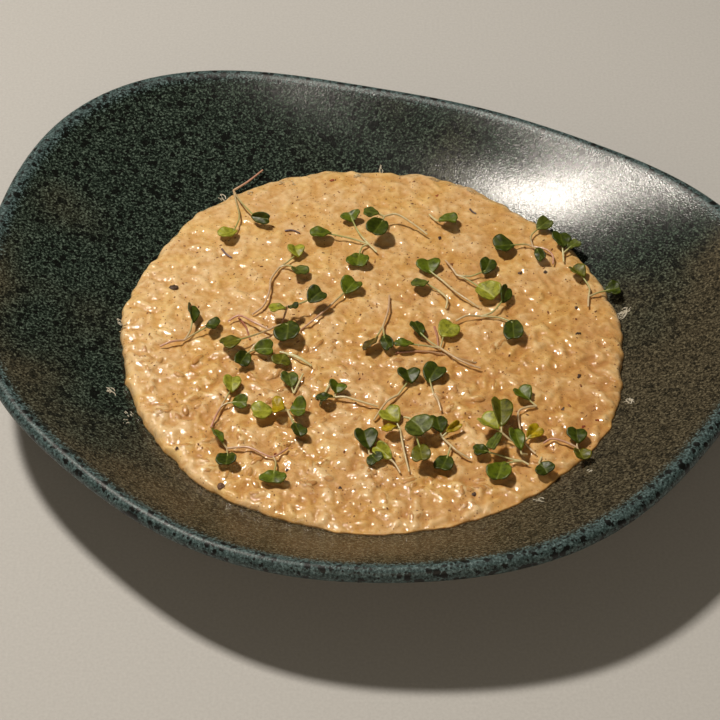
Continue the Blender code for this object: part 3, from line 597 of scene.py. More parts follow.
def relief_at(x, y):
    """Relief of the grains at plan places, calmed towards the food's edge."""
    bed = the_bed()
    column = (np.asarray(x) - WELL_CENTRE[0] - bed.low) / BED_STEP
    row = (np.asarray(y) - WELL_CENTRE[1] - bed.low) / BED_STEP
    limit = len(bed.relief) - 2
    i = np.clip(np.floor(column).astype(int), 0, limit)
    j = np.clip(np.floor(row).astype(int), 0, limit)
    u = np.clip(column - i, 0.0, 1.0)
    v = np.clip(row - j, 0.0, 1.0)
    low_side = bed.relief[i, j] * (1.0 - u) + bed.relief[i + 1, j] * u
    high_side = bed.relief[i, j + 1] * (1.0 - u) + bed.relief[i + 1, j + 1] * u
    calm = smooth_step(from_edge(x, y) / EDGE_CALM)
    return (low_side * (1.0 - v) + high_side * v) * calm


def food_top(x, y):
    """Height of the risotto's real top, or of the bare wall beside it."""
    return np.where(from_edge(x, y) > 0.0, food_skin(x, y) + relief_at(x, y), wall_height(x, y))


def resting_height(x, y):
    """Lowest height that a sprig has at a plan place, clear of the food or of the bare wall."""
    return float(np.where(from_edge(x, y) > 0.0, food_skin(x, y), wall_height(x, y))) + STEM_CLEAR


# Bowl

def bowl_profile():
    """Profile from the middle of the well over the lip, down the outside and under the foot."""
    lip_middle = RIM_RADIUS - LIP_INSET
    last = lip_middle - LIP_RADIUS * math.sin(LIP_TILT)
    points = [(last * index / INNER_RINGS, wall_profile(last * index / INNER_RINGS))
              for index in range(INNER_RINGS + 1)]
    lip_height = points[-1][1] - LIP_RADIUS * math.cos(LIP_TILT)
    for index in range(1, LIP_STEPS + 1):
        angle = math.radians(90.0 - 180.0 * index / LIP_STEPS) + LIP_TILT
        points.append((lip_middle + LIP_RADIUS * math.cos(angle), lip_height + LIP_RADIUS * math.sin(angle)))
    foot_top = FOOT_RADIUS + FOOT_FILLET
    for index in range(1, OUTER_RINGS + 1):
        radius = RIM_RADIUS - (RIM_RADIUS - foot_top) * index / OUTER_RINGS
        swell = LIP_SWELL * float(smooth_step(8.0 * (radius / RIM_RADIUS) - 7.0))
        points.append((radius, wall_profile(radius) - WALL_THICKNESS - swell))
    foot_join = points[-1][1]
    for index in range(1, 7):
        share = index / 7.0
        radius = foot_top - FOOT_FILLET * (1.0 - (1.0 - share) ** 2)
        points.append((radius, foot_join + (FOOT_STEP - foot_join) * share ** 1.4))
    points += [(FOOT_RADIUS, FOOT_STEP), (FOOT_RADIUS - 0.0003, 0.0006), (FOOT_RADIUS - 0.0010, 0.0),
               (FOOT_RADIUS - FOOT_WIDTH, 0.0), (FOOT_RADIUS - FOOT_WIDTH - 0.0008, 0.0006),
               (FOOT_RADIUS - FOOT_WIDTH - FOOT_RECESS, FOOT_RECESS), (0.0, FOOT_RECESS)]
    return points


def pebble_tree():
    """Tree that eases the rings of a turned bowl from a round well out to a pebble-shaped rim."""
    tree, given = new_tree("Pebble rim", (
        ("Well radius", "Float"), ("Rim radius", "Float"), ("Well centre", "Vector"),
        ("Rim centre", "Vector"), ("Unevenness", "Float"), ("Material", "Material")))
    place = add(tree, "ShaderNodeSeparateXYZ", {0: add(tree, "GeometryNodeInputPosition")})
    flat = add(tree, "ShaderNodeCombineXYZ", {0: place.outputs[0], 1: place.outputs[1]})
    radius = add(tree, "ShaderNodeVectorMath", {0: flat}, operation="LENGTH").outputs["Value"]
    angle = add(tree, "ShaderNodeMath", {0: place.outputs[1], 1: place.outputs[0]}, operation="ARCTAN2")
    ring = add(tree, "ShaderNodeMath", {0: radius, 1: given["Rim radius"]}, operation="DIVIDE")
    marked = add(tree, "GeometryNodeStoreNamedAttribute",
                 {"Geometry": given["Geometry"], "Name": "ring", "Value": ring},
                 data_type="FLOAT", domain="POINT")
    share = add(tree, "ShaderNodeMapRange", {0: radius, 1: given["Well radius"], 2: given["Rim radius"]},
                interpolation_type="SMOOTHSTEP")
    lobes = None
    for count, size, turn in RIM_LOBES:
        phase = add(tree, "ShaderNodeMath", {0: angle, 1: float(count), 2: -count * math.radians(turn)},
                    operation="MULTIPLY_ADD")
        wave = add(tree, "ShaderNodeMath", {0: phase}, operation="COSINE")
        lobes = add(tree, "ShaderNodeMath", {0: wave, 1: size, 2: lobes or 0.0}, operation="MULTIPLY_ADD")
    stretch = add(tree, "ShaderNodeMath", {0: lobes, 1: share, 2: 1.0}, operation="MULTIPLY_ADD")
    spread = add(tree, "ShaderNodeVectorMath", {0: flat, 3: stretch}, operation="SCALE")
    centre = add(tree, "ShaderNodeMix", {0: share, 4: given["Well centre"], 5: given["Rim centre"]},
                 data_type="VECTOR").outputs[1]
    height = add(tree, "ShaderNodeCombineXYZ", {2: place.outputs[2]})
    moved = add(tree, "ShaderNodeVectorMath", {0: spread, 1: centre, 2: height}, operation="ADD")
    moved = add(tree, "ShaderNodeVectorMath", {0: moved, 1: height}, operation="ADD")
    shaped = add(tree, "GeometryNodeSetPosition", {"Geometry": marked, "Position": moved})
    waver = add(tree, "ShaderNodeTexNoise", {"Scale": 32.0, "Detail": 1.0})
    centred = add(tree, "ShaderNodeMath", {0: waver, 1: 0.5}, operation="SUBTRACT")
    lifted = add(tree, "ShaderNodeMath", {0: centred, 1: given["Unevenness"]}, operation="MULTIPLY")
    eased = add(tree, "ShaderNodeMath", {0: lifted, 1: share}, operation="MULTIPLY")
    outward = add(tree, "GeometryNodeInputNormal")
    push = add(tree, "ShaderNodeVectorMath", {0: outward, 3: eased}, operation="SCALE")
    uneven = add(tree, "GeometryNodeSetPosition", {"Geometry": shaped, "Offset": push})
    close_tree(tree, uneven, given["Material"])
    return tree


def stoneware_glaze(settings):
    """Reactive iron glaze on stoneware, fired to a satin gloss: green-black with fine dark iron specks,
    breaking to teal along the lip where it runs thin, over a surface as lumpy as orange peel. The foot's
    standing ring is wiped bare."""
    material, tree, shader = new_material("reactive stoneware glaze")
    place = add(tree, "ShaderNodeTexCoord").outputs["Object"]
    _, front, height = add(tree, "ShaderNodeSeparateXYZ", {0: place}).outputs
    ring = add(tree, "ShaderNodeAttribute", attribute_name="ring").outputs["Fac"]
    grain = add(tree, "ShaderNodeTexNoise", {
        "Vector": place, "Scale": 1.0 / settings.speck_size, "Detail": 3.0, "Roughness": 0.7})
    pool = add(tree, "ShaderNodeTexNoise", {"Vector": place, "Scale": 13.0, "Detail": 2.0})
    green, brown, teal, clay = [add(tree, "ShaderNodeValToRGB", {0: grain}, stops=tones)
                                for tones in (GREEN_GLAZE, BROWN_GLAZE_AND_PAINTED_LIGHT, TEAL_GLAZE, BARE_CLAY)]
    # Browner and lighter towards the front: partly the glaze's own pooling, partly painted light on the
    # front wall, which faces the light
    front_light_and_pool = add(tree, "ShaderNodeMath", {0: front, 1: -2.2, 2: pool}, operation="MULTIPLY_ADD")
    brown_and_light_zone = add(tree, "ShaderNodeMapRange", {0: front_light_and_pool, 1: 0.40, 2: 0.68}, interpolation_type="SMOOTHSTEP")
    body = add(tree, "ShaderNodeMix", {0: brown_and_light_zone, 6: green, 7: brown}, data_type="RGBA").outputs[2]
    ragged = add(tree, "ShaderNodeMath", {0: grain, 1: 0.10, 2: ring}, operation="MULTIPLY_ADD")
    lip = add(tree, "ShaderNodeMapRange", {0: ragged, 1: 1.014, 2: 1.040}, interpolation_type="SMOOTHSTEP")
    body = add(tree, "ShaderNodeMix", {0: lip, 6: body, 7: teal}, data_type="RGBA").outputs[2]
    faded = add(tree, "ShaderNodeMapRange", {0: brown_and_light_zone, 3: 0.94, 4: 0.50})
    strength = add(tree, "ShaderNodeMath", {0: faded, 1: lip}, operation="MAXIMUM")
    for spacing, least, most in GLAZE_SPECKS:
        cells = add(tree, "ShaderNodeTexVoronoi", {"Vector": place, "Scale": 1.0 / spacing})
        patchy = add(tree, "ShaderNodeTexNoise", {"Vector": place, "Scale": 0.7 / spacing})
        size = add(tree, "ShaderNodeMapRange", {0: patchy, 1: 0.38, 2: 0.68, 3: least, 4: most})
        frayed = add(tree, "ShaderNodeMath", {0: grain, 1: -0.55, 2: size}, operation="MULTIPLY_ADD")
        edge = add(tree, "ShaderNodeMath", {0: frayed, 1: cells.outputs["Distance"]}, operation="SUBTRACT")
        speck = add(tree, "ShaderNodeMapRange", {0: edge, 1: -0.04, 2: 0.05, 4: strength})
        body = add(tree, "ShaderNodeMix", {0: speck, 6: body, 7: linear(IRON)}, data_type="RGBA").outputs[2]
    bare = add(tree, "ShaderNodeMapRange", {0: height, 1: 0.0010, 2: 0.0007})
    body = add(tree, "ShaderNodeMix", {0: bare, 6: body, 7: clay}, data_type="RGBA").outputs[2]
    rough = add(tree, "ShaderNodeMapRange", {0: grain, 1: 0.3, 2: 0.7, 3: 0.205, 4: 0.155})
    worn = add(tree, "ShaderNodeMapRange", {0: ring, 1: 0.972, 2: 0.988})
    satin = add(tree, "ShaderNodeMath", {0: worn, 1: 0.25, 2: rough}, operation="MULTIPLY_ADD")
    peel = add(tree, "ShaderNodeTexNoise", {"Vector": place, "Scale": 2000.0, "Detail": 1.0})
    bump = add(tree, "ShaderNodeBump", {"Strength": 1.0, "Distance": 0.000058, "Height": peel})
    feed(tree, shader, {"Base Color": body, "Roughness": satin, "Normal": bump, "IOR": 1.40})
    return material


def build_bowl(settings):
    """The glazed stoneware bowl, turned and then eased to its pebble-shaped rim."""
    profile = bowl_profile()
    mesh = bpy.data.meshes.new("stoneware_bowl")
    mesh.from_pydata([(radius, 0.0, height) for radius, height in profile],
                     [(index, index + 1) for index in range(len(profile) - 1)], [])
    bowl = new_piece("stoneware_bowl", mesh)
    turn = bowl.modifiers.new("Turn", "SCREW")
    turn.angle = math.tau
    turn.steps = settings.segments
    turn.render_steps = settings.segments
    turn.use_merge_vertices = True
    turn.merge_threshold = 0.00001
    grow(bowl, pebble_tree(), {
        "Well radius": WELL_RADIUS, "Rim radius": RIM_RADIUS, "Well centre": (*WELL_CENTRE, 0.0),
        "Rim centre": (*RIM_CENTRE, 0.0), "Unevenness": settings.unevenness,
        "Material": stoneware_glaze(settings)})
    declare(bowl, "glaze", "bowl")


# Risotto

def disc_points(rings):
    """Ring share, angle and triangles of a disc with six more points on each ring."""
    shares = [0.0]
    angles = [0.0]
    faces = []
    for ring in range(1, rings + 1):
        inner = 0 if ring == 1 else 1 + 3 * (ring - 1) * (ring - 2)
        outer = 1 + 3 * ring * (ring - 1)
        inner_count = max(6 * (ring - 1), 1)
        outer_count = 6 * ring
        for index in range(outer_count):
            shares.append(ring / rings)
            angles.append(math.tau * index / outer_count)
            sector, step = divmod(index, ring)
            near = inner + (sector * (ring - 1) + step) % inner_count
            here = outer + index
            after = outer + (index + 1) % outer_count
            faces.append((near, here, after))
            if step < ring - 1:
                faces.append((near, after, inner + (sector * (ring - 1) + step + 1) % inner_count))
    return np.array(shares), np.array(angles), faces


def sauce_finish(name, valley, middle, peak):
    """Starch-thickened cream over rice: opaque, soft and wet, so it keeps small bright glints on each
    lump and lets a little light in. Tan in the hollows and paler where grains lift it, and paler along the
    food's edge, where the lift also carries a painted sheen."""
    material, tree, shader = new_material(name)
    place = add(tree, "ShaderNodeTexCoord").outputs["Object"]
    side = add(tree, "ShaderNodeSeparateXYZ", {0: place}).outputs[0]
    lift = add(tree, "ShaderNodeAttribute", attribute_name="lift").outputs["Fac"]
    pool = add(tree, "ShaderNodeAttribute", attribute_name="pooled").outputs["Fac"]
    cloud = add(tree, "ShaderNodeTexNoise",
                {"Vector": place, "Scale": 110.0, "Detail": 3.0, "Roughness": 0.6})
    curd = add(tree, "ShaderNodeTexNoise",
               {"Vector": place, "Scale": 640.0, "Detail": 3.0, "Roughness": 0.65})
    mixed = lift
    for part, share in ((cloud, 1.0), (curd, 1.1), (pool, 0.30), (side, -1.6)):
        mixed = add(tree, "ShaderNodeMath", {0: part, 1: share, 2: mixed}, operation="MULTIPLY_ADD")
    shade = add(tree, "ShaderNodeMapRange", {0: mixed, 1: 0.88, 2: 1.98})
    plain = add(tree, "ShaderNodeValToRGB", {0: shade}, stops=((0.0, valley), (0.45, middle), (1.0, peak)))
    butter = add(tree, "ShaderNodeTexNoise", {"Vector": place, "Scale": 70.0, "Detail": 3.0})
    rich = add(tree, "ShaderNodeMapRange", {0: butter, 1: 0.42, 2: 0.62})
    base = add(tree, "ShaderNodeMix", {0: rich, 6: plain, 7: linear(BUTTER)},
               data_type="RGBA", blend_type="MULTIPLY").outputs[2]
    crumbs = add(tree, "ShaderNodeTexVoronoi", {"Vector": place, "Scale": 1100.0})
    chance = add(tree, "ShaderNodeSeparateColor", {0: crumbs.outputs["Color"]})
    reach = add(tree, "ShaderNodeMapRange", {0: chance, 1: 0.66, 2: 1.0, 3: 0.0, 4: 0.42})
    edge = add(tree, "ShaderNodeMath", {0: reach, 1: crumbs.outputs["Distance"]}, operation="SUBTRACT")
    crumb = add(tree, "ShaderNodeMapRange", {0: edge, 1: -0.02, 2: 0.14, 4: 0.75})
    base = add(tree, "ShaderNodeMix", {0: crumb, 6: base, 7: linear(CRUMB)}, data_type="RGBA").outputs[2]
    lumps = add(tree, "ShaderNodeTexNoise", {
        "Vector": place, "Scale": 820.0, "Detail": 0.4, "Distortion": 0.6})
    ripple = add(tree, "ShaderNodeMapRange", {0: pool, 3: 1.0, 4: 0.85})
    soft = add(tree, "ShaderNodeBump", {"Strength": ripple, "Distance": 0.00012, "Height": lumps})
    film = add(tree, "ShaderNodeBump", {"Strength": ripple, "Distance": 0.00030, "Height": lumps})
    feed(tree, shader, {
        "Base Color": base, "Roughness": 0.5, "Specular IOR Level": 0.35, "IOR": 1.40, "Normal": soft,
        "Coat Weight": 1.0, "Coat Roughness": 0.08, "Coat Normal": film,
        "Subsurface Weight": 0.4, "Subsurface Radius": (1.0, 0.88, 0.7), "Subsurface Scale": 0.0014})
    return material


def build_risotto(settings):
    """The creamy mass of the risotto: a closed body whose top carries the relief of its grains."""
    share, angle, faces = disc_points(CORE_RINGS)
    reach = FOOD_RADIUS * lobed(FOOD_LOBES, angle) * (1.0 - (1.0 - share) ** 1.06)
    x = WELL_CENTRE[0] + reach * np.cos(angle)
    y = WELL_CENTRE[1] + reach * np.sin(angle)
    relief = relief_at(x, y)
    z = food_skin(x, y) + relief
    rim_count = 6 * CORE_RINGS
    rim = len(x) - rim_count
    foot_x = WELL_CENTRE[0] + reach[rim:] * np.cos(angle[rim:]) * SKIRT_REACH
    foot_y = WELL_CENTRE[1] + reach[rim:] * np.sin(angle[rim:]) * SKIRT_REACH
    foot_z = wall_height(foot_x, foot_y) - SKIRT_SINK
    points = np.concatenate((np.stack((x, y, z), 1), np.stack((foot_x, foot_y, foot_z), 1),
                             [[*WELL_CENTRE, WALL_FLOOR + 2.0 * GAP]]))
    bottom = len(points) - 1
    for index in range(rim_count):
        after = (index + 1) % rim_count
        faces.append((rim + index, rim + rim_count + index, rim + rim_count + after, rim + after))
        faces.append((rim + rim_count + after, rim + rim_count + index, bottom))
    mesh = bpy.data.meshes.new("creamy_risotto")
    mesh.from_pydata(points.tolist(), [], faces)
    lift = np.zeros(len(points))
    lift[:len(relief)] = np.clip(relief / settings.grain_rise, 0.0, 1.0)
    # Painted sheen: the lift rises towards the food's edge, so the sauce is painted paler there
    lift += EDGE_PAINTED_SHEEN * (1.0 - smooth_step(from_edge(points[:, 0], points[:, 1]) / EDGE_SHEEN_BAND))
    store(mesh, "lift", "FLOAT", lift)
    store(mesh, "pooled", "FLOAT", pooled(points[:, 0] - WELL_CENTRE[0], points[:, 1] - WELL_CENTRE[1]))
    mesh.shade_smooth()
    mesh.materials.append(sauce_finish("rice cream sauce", *CREAM_TONES))
    declare(new_piece("creamy_risotto", mesh), "risotto", "risotto")


def strew_tree(name, grain):
    """Tree that puts a rice grain or an uneven lump on each point, by its size and turn."""
    tree, given = new_tree(name, (("Lumpiness", "Float"), ("Fineness", "Int"), ("Material", "Material")))
    if grain:
        shape = add(tree, "GeometryNodeMeshUVSphere", {"Segments": 10, "Rings": 7, "Radius": 1.0})
    else:
        shape = add(tree, "GeometryNodeMeshIcoSphere", {"Radius": 1.0, "Subdivisions": given["Fineness"]})
    turn = add(tree, "GeometryNodeInputNamedAttribute", {"Name": "turn"}, data_type="FLOAT_VECTOR")
    size = add(tree, "GeometryNodeInputNamedAttribute", {"Name": "size"}, data_type="FLOAT_VECTOR")
    turned = add(tree, "FunctionNodeEulerToRotation", {0: turn})
    strewn = add(tree, "GeometryNodeInstanceOnPoints",
                 {"Points": given["Geometry"], "Instance": shape, "Rotation": turned, "Scale": size})
    real = add(tree, "GeometryNodeRealizeInstances", {"Geometry": strewn})
    noise = add(tree, "ShaderNodeTexNoise", {"Scale": 1400.0, "Detail": 1.0})
    centred = add(tree, "ShaderNodeMath", {0: noise, 1: 0.5}, operation="SUBTRACT")
    amount = add(tree, "ShaderNodeMath", {0: centred, 1: given["Lumpiness"]}, operation="MULTIPLY")
    outward = add(tree, "GeometryNodeInputNormal")
    push = add(tree, "ShaderNodeVectorMath", {0: outward, 3: amount}, operation="SCALE")
    uneven = add(tree, "GeometryNodeSetPosition", {"Geometry": real, "Offset": push})
    close_tree(tree, uneven, given["Material"])
    return tree


def strew(name, tree, places, sizes, turns, tints, material, lumpiness, fineness=3):
    """A piece of many lumps or grains, one at each place."""
    mesh = bpy.data.meshes.new(name)
    mesh.from_pydata([tuple(place) for place in places], [], [])
    store(mesh, "size", "FLOAT_VECTOR", sizes)
    store(mesh, "turn", "FLOAT_VECTOR", turns)
    store(mesh, "tint", "FLOAT_COLOR", tints)
    piece = new_piece(name, mesh)
    return grow(piece, tree, {"Lumpiness": lumpiness, "Fineness": fineness, "Material": material})


def build_rice(settings):
    """The grains that stand proud of the cream, each lying as its bump in the relief does."""
    draw = np.random.default_rng(settings.seed + 1)
    proud = [grain for grain in the_bed().grains if grain.proud > SHOWING_RISE * settings.grain_rise]
    x = np.array([grain.x for grain in proud]) + WELL_CENTRE[0]
    y = np.array([grain.y for grain in proud]) + WELL_CENTRE[1]
    inside = from_edge(x, y)
    places, sizes, turns = [], [], []
    for index, grain in enumerate(proud):
        if inside[index] < SHOWING_MARGIN * settings.grain_length:
            continue
        z = float(food_top(x[index], y[index])) + settings.grain_show - grain.half_height
        places.append((x[index], y[index], z))
        sizes.append((0.96 * grain.half_length, 0.96 * grain.half_width, grain.half_height))
        turns.append((draw.uniform(-0.3, 0.3), draw.uniform(-0.04, 0.04), grain.turn))
    tints = np.ones((len(places), 4))
    skin = sauce_finish("cooked rice grain", *GRAIN_TONES)
    tree = strew_tree("Strewn grains", True)
    rice = strew("rice_grains", tree, places, sizes, turns, tints, skin, lumpiness=0.0001)
    declare(rice, "risotto")


def tinted_finish(name, roughness, coat, darker, scale):
    """A finish that takes its colour from each lump's own tint, mottled at a given scale."""
    material, tree, shader = new_material(name)
    place = add(tree, "ShaderNodeTexCoord").outputs["Object"]
    tint = add(tree, "ShaderNodeAttribute", attribute_name="tint").outputs["Color"]
    mottle = add(tree, "ShaderNodeTexNoise", {"Vector": place, "Scale": scale, "Detail": 3.0})
    shade = add(tree, "ShaderNodeValToRGB", {0: mottle}, stops=((0.35, darker), (0.65, "FFFFFF")))
    base = add(tree, "ShaderNodeMix", {0: 1.0, 6: tint, 7: shade},
               data_type="RGBA", blend_type="MULTIPLY").outputs[2]
    bump = add(tree, "ShaderNodeBump", {"Strength": 0.4, "Distance": 0.0001, "Height": mottle})
    feed(tree, shader, {"Base Color": base, "Normal": bump, "Roughness": roughness,
                        "Coat Weight": coat, "Coat Roughness": 0.15})
    return material


def random_in_food(draw, count, margin):
    """Seeded plan places inside the food's edge."""
    reach = (FOOD_RADIUS - margin) * np.sqrt(draw.uniform(0.0, 1.0, count))
    angle = draw.uniform(0.0, math.tau, count)
    return WELL_CENTRE[0] + reach * np.cos(angle), WELL_CENTRE[1] + reach * np.sin(angle)


def build_seasoning(settings):
    """Mushroom bits, cracked pepper and chilli flecks on the cream."""
    draw = np.random.default_rng(settings.seed + 2)
    tree = strew_tree("Strewn lumps", False)
    # Sauteed mushroom and its cooking juice are damp: dark, with a soft shine
    damp = tinted_finish("cooked mushroom", 0.6, 0.12, "80705C", 1600.0)
    pieces = []
    for name, rows in (("mushroom_bits", MUSHROOM_BITS), ("chilli_flecks", CHILLI_FLECKS)):
        places, sizes, turns, tints = [], [], [], []
        for x, y, length, width, turn, code in rows:
            x, y = x * MM, y * MM
            places.append((x, y, float(food_top(x, y)) + 0.04 * width * MM))
            sizes.append((length * MM / 2.0, width * MM / 2.0, 0.26 * width * MM))
            turns.append((0.0, 0.0, math.radians(turn)))
            tints.append(linear(code))
        pieces.append(strew(name, tree, places, sizes, turns, tints, damp, lumpiness=0.0017))
    x, y = random_in_food(draw, settings.pepper_count, 0.002)
    size = PEPPER_WIDTH + PEPPER_SPREAD * draw.beta(1.2, 3.2, settings.pepper_count)
    places = np.stack((x, y, food_top(x, y)), 1)
    sizes = np.stack((size * draw.uniform(1.1, 2.6, len(size)), size, 0.5 * size), 1)
    turns = np.stack((np.zeros(len(size)), np.zeros(len(size)), draw.uniform(0.0, math.pi, len(size))), 1)
    tones = [linear(code) for code in PEPPER_TONES]
    tints = [tones[index] for index in draw.integers(0, len(tones), len(size))]
    # Cracked black pepper: matt dark skin and brown kernel
    pepper = tinted_finish("cracked pepper", 0.8, 0.0, "C4B8A8", 2500.0)
    pieces.append(strew("pepper_specks", tree, places, sizes, turns, tints, pepper,
                        lumpiness=0.0002, fineness=1))
    for piece in pieces:
        declare(piece, "risotto")


# Stalks, strands and leaves

def stalk_tree():
    """Tree that turns lines of points into smooth stalks as thick as each point says."""
    tree, given = new_tree("Stalks", (("Spacing", "Float"), ("Sides", "Int"), ("Material", "Material")))
    curve = add(tree, "GeometryNodeMeshToCurve", {"Mesh": given["Geometry"]})
    smooth = add(tree, "GeometryNodeCurveSplineType", {"Curve": curve}, spline_type="CATMULL_ROM")
    even = add(tree, "GeometryNodeResampleCurve",
               {"Curve": smooth, "Length": given["Spacing"]}, mode="LENGTH")
    thick = add(tree, "GeometryNodeInputNamedAttribute", {"Name": "thickness"}, data_type="FLOAT")
    ring = add(tree, "GeometryNodeCurvePrimitiveCircle",
               {"Resolution": given["Sides"], "Radius": 1.0}, mode="RADIUS")
    tube = add(tree, "GeometryNodeCurveToMesh",
               {"Curve": even, "Profile Curve": ring, "Scale": thick, "Fill Caps": True})
    close_tree(tree, tube, given["Material"])
    return tree


def grow_stalks(name, tree, lines, material, spacing=0.0006, sides=8):
    """A piece of stalks from lines, each a list of (place, radius, linear colour)."""
    points, edges, radii, tints = [], [], [], []
    for line in lines:
        start = len(points)
        for index, (place, radius, tint) in enumerate(line):
            points.append(tuple(place))
            radii.append(radius)
            tints.append(tint)
            if index:
                edges.append((start + index - 1, start + index))
    mesh = bpy.data.meshes.new(name)
    mesh.from_pydata(points, edges, [])
    store(mesh, "thickness", "FLOAT", radii)
    store(mesh, "tint", "FLOAT_COLOR", tints)
    piece = new_piece(name, mesh)
    return grow(piece, tree, {"Spacing": spacing, "Sides": sides, "Material": material})


def lifted_path(points, start_lift, end_lift, radius, arch):
    """Plan points in millimetres raised over the food, from one lift to another, with a slight arch."""
    path = []
    for index, (x, y) in enumerate(points):
        share = index / max(len(points) - 1, 1)
        lift = start_lift + (end_lift - start_lift) * float(smooth_step(share))
        lift += arch * math.sin(math.pi * share)
        path.append(Vector((x * MM, y * MM, resting_height(x * MM, y * MM) + radius + lift)))
    return path


def shaded_line(path, start_radius, end_radius, colours):
    """Points of a stalk with its taper and its colours from root to tip."""
    line = []
    for index, place in enumerate(path):
        share = index / (len(path) - 1)
        step = share * (len(colours) - 1)
        first = min(int(step), len(colours) - 2)
        tint = [low + (high - low) * (step - first) for low, high in zip(colours[first], colours[first + 1])]
        line.append((place, start_radius + (end_radius - start_radius) * share, tint))
    return line


def leaf_outline(angle):
    """Heart-shaped seed leaf in half lengths and half widths: a notch at the tip, narrow at the base."""
    notch = 1.0 - LEAF_NOTCH * math.exp(-((angle / 0.42) ** 2))
    base = (1.0 - math.cos(angle)) / 2.0
    return notch * math.cos(angle), notch * math.sin(angle) * (1.0 - LEAF_PINCH * base ** 2)


def leaf_frame(leaf, base):
    """Axes of a leaf: along it from base to tip, across it, and out of its face."""
    along = Vector((leaf.tip[0] * MM, leaf.tip[1] * MM, base.z + TIP_RISE)) - base
    across = Vector((-along.y, along.x, 0.0)).normalized()
    out = along.cross(across).normalized()
    turn = math.radians(leaf.roll)
    rolled = across * math.cos(turn) + out * math.sin(turn)
    return along, rolled, along.cross(rolled).normalized()


def add_leaf(shell, layers, leaf, base, phase, draw):
    """Adds the upper sheet of one leaf: folded along its midrib, wavy at the margin and puckered."""
    along, across, out = leaf_frame(leaf, base)
    half_width = leaf.width * MM / 2.0
    middle = base + along / 2.0
    cup = draw.uniform(*LEAF_CUPS) * half_width
    fold = draw.uniform(*LEAF_FOLDS) * half_width
    droop = draw.uniform(*LEAF_DROOPS) * half_width
    skew = draw.uniform(-LEAF_SKEW, LEAF_SKEW)
    tone = linear(TONES[leaf.tone])
    rings = []
    for ring in range(LEAF_RINGS + 1):
        share = ring / LEAF_RINGS
        row = []
        for spoke in range(LEAF_SPOKES if ring else 1):
            angle = math.tau * spoke / LEAF_SPOKES - math.pi
            lengthwise, sideways = leaf_outline(angle)
            lengthwise, sideways = lengthwise * share, sideways * share
            sideways += skew * lengthwise * abs(sideways)
            raised = fold * (math.sqrt(sideways ** 2 + 0.006) - 0.077)
            raised += LEAF_WAVE * math.sin(3.0 * angle + phase) * share ** 2
            raised += 0.5 * LEAF_WAVE * math.sin(7.0 * angle + 2.0 * phase) * share ** 3
            raised += cup * sideways ** 2 - droop * max(lengthwise, 0.0) ** 2
            flat = middle + along * (lengthwise / 2.0) + across * (sideways * half_width)
            point = shell.verts.new(flat + out * raised)
            point[layers["along"]] = lengthwise
            point[layers["across"]] = sideways
            point[layers["tint"]] = tone
            row.append(point)
        rings.append(row)
    for spoke in range(LEAF_SPOKES):
        after = (spoke + 1) % LEAF_SPOKES
        shell.faces.new((rings[0][0], rings[1][spoke], rings[1][after]))
        for inner, outer in zip(rings[1:], rings[2:]):
            shell.faces.new((inner[spoke], outer[spoke], outer[after], inner[after]))


def leaf_finish(settings):
    """Cress seed leaf: waxy fresh green skin with a paler midrib and side veins, satin and a little wet."""
    material, tree, shader = new_material("cress seed leaf")
    place = add(tree, "ShaderNodeTexCoord").outputs["Object"]
    tint = add(tree, "ShaderNodeAttribute", attribute_name="tint").outputs["Color"]
    along = add(tree, "ShaderNodeAttribute", attribute_name="along").outputs["Fac"]
    across = add(tree, "ShaderNodeAttribute", attribute_name="across").outputs["Fac"]
    side = add(tree, "ShaderNodeMath", {0: across}, operation="ABSOLUTE")
    rib = add(tree, "ShaderNodeMapRange", {0: side, 1: 0.03, 2: 0.12, 3: 0.45, 4: 0.0})
    slant = add(tree, "ShaderNodeMath", {0: side, 1: -0.9, 2: along}, operation="MULTIPLY_ADD")
    rows = add(tree, "ShaderNodeMath", {0: slant, 1: 0.42}, operation="PINGPONG")
    vein = add(tree, "ShaderNodeMapRange", {0: rows, 1: 0.03, 2: 0.09, 3: 0.16, 4: 0.0})
    veins = add(tree, "ShaderNodeMath", {0: rib, 1: vein}, operation="MAXIMUM")
    mottle = add(tree, "ShaderNodeTexNoise",
                 {"Vector": place, "Scale": 480.0, "Detail": 4.0, "Roughness": 0.65})
    # Random patches of painted shade and sheen, mixed with the leaf's own blotching
    shade = add(tree, "ShaderNodeValToRGB", {0: mottle}, stops=LEAF_MOTTLE_AND_SHADE)
    skin = add(tree, "ShaderNodeMix", {0: 1.0, 6: tint, 7: shade},
               data_type="RGBA", blend_type="MULTIPLY").outputs[2]
    pale = add(tree, "ShaderNodeMix", {0: 0.24, 6: tint, 7: linear(LEAF_VEIN)}, data_type="RGBA").outputs[2]
    base = add(tree, "ShaderNodeMix", {0: veins, 6: skin, 7: pale}, data_type="RGBA").outputs[2]
    height = add(tree, "ShaderNodeMath", {0: veins, 1: -0.6, 2: mottle}, operation="MULTIPLY_ADD")
    bump = add(tree, "ShaderNodeBump", {"Strength": 0.7, "Distance": 0.00018, "Height": height})
    feed(tree, shader, {
        "Base Color": base, "Normal": bump, "Roughness": settings.leaf_roughness, "Specular IOR Level": 0.34,
        "Coat Weight": 0.05, "Coat Roughness": 0.3,
        "Subsurface Weight": 0.1, "Subsurface Radius": (0.8, 1.0, 0.2), "Subsurface Scale": 0.0008})
    return material


def stem_finish():
    """Cress stem: smooth, juicy and faintly see-through, blushing from green to pink at the root."""
    return tinted_finish("cress stem", 0.38, 0.3, "E8E0D4", 700.0)


def joined(name, meshes):
    """One mesh of several, with their materials and point attributes kept."""
    pieces = [new_piece(f"{name}_{index}", mesh) for index, mesh in enumerate(meshes)]
    with bpy.context.temp_override(active_object=pieces[0], selected_editable_objects=pieces):
        bpy.ops.object.join()
    pieces[0].name = name
    return pieces[0]


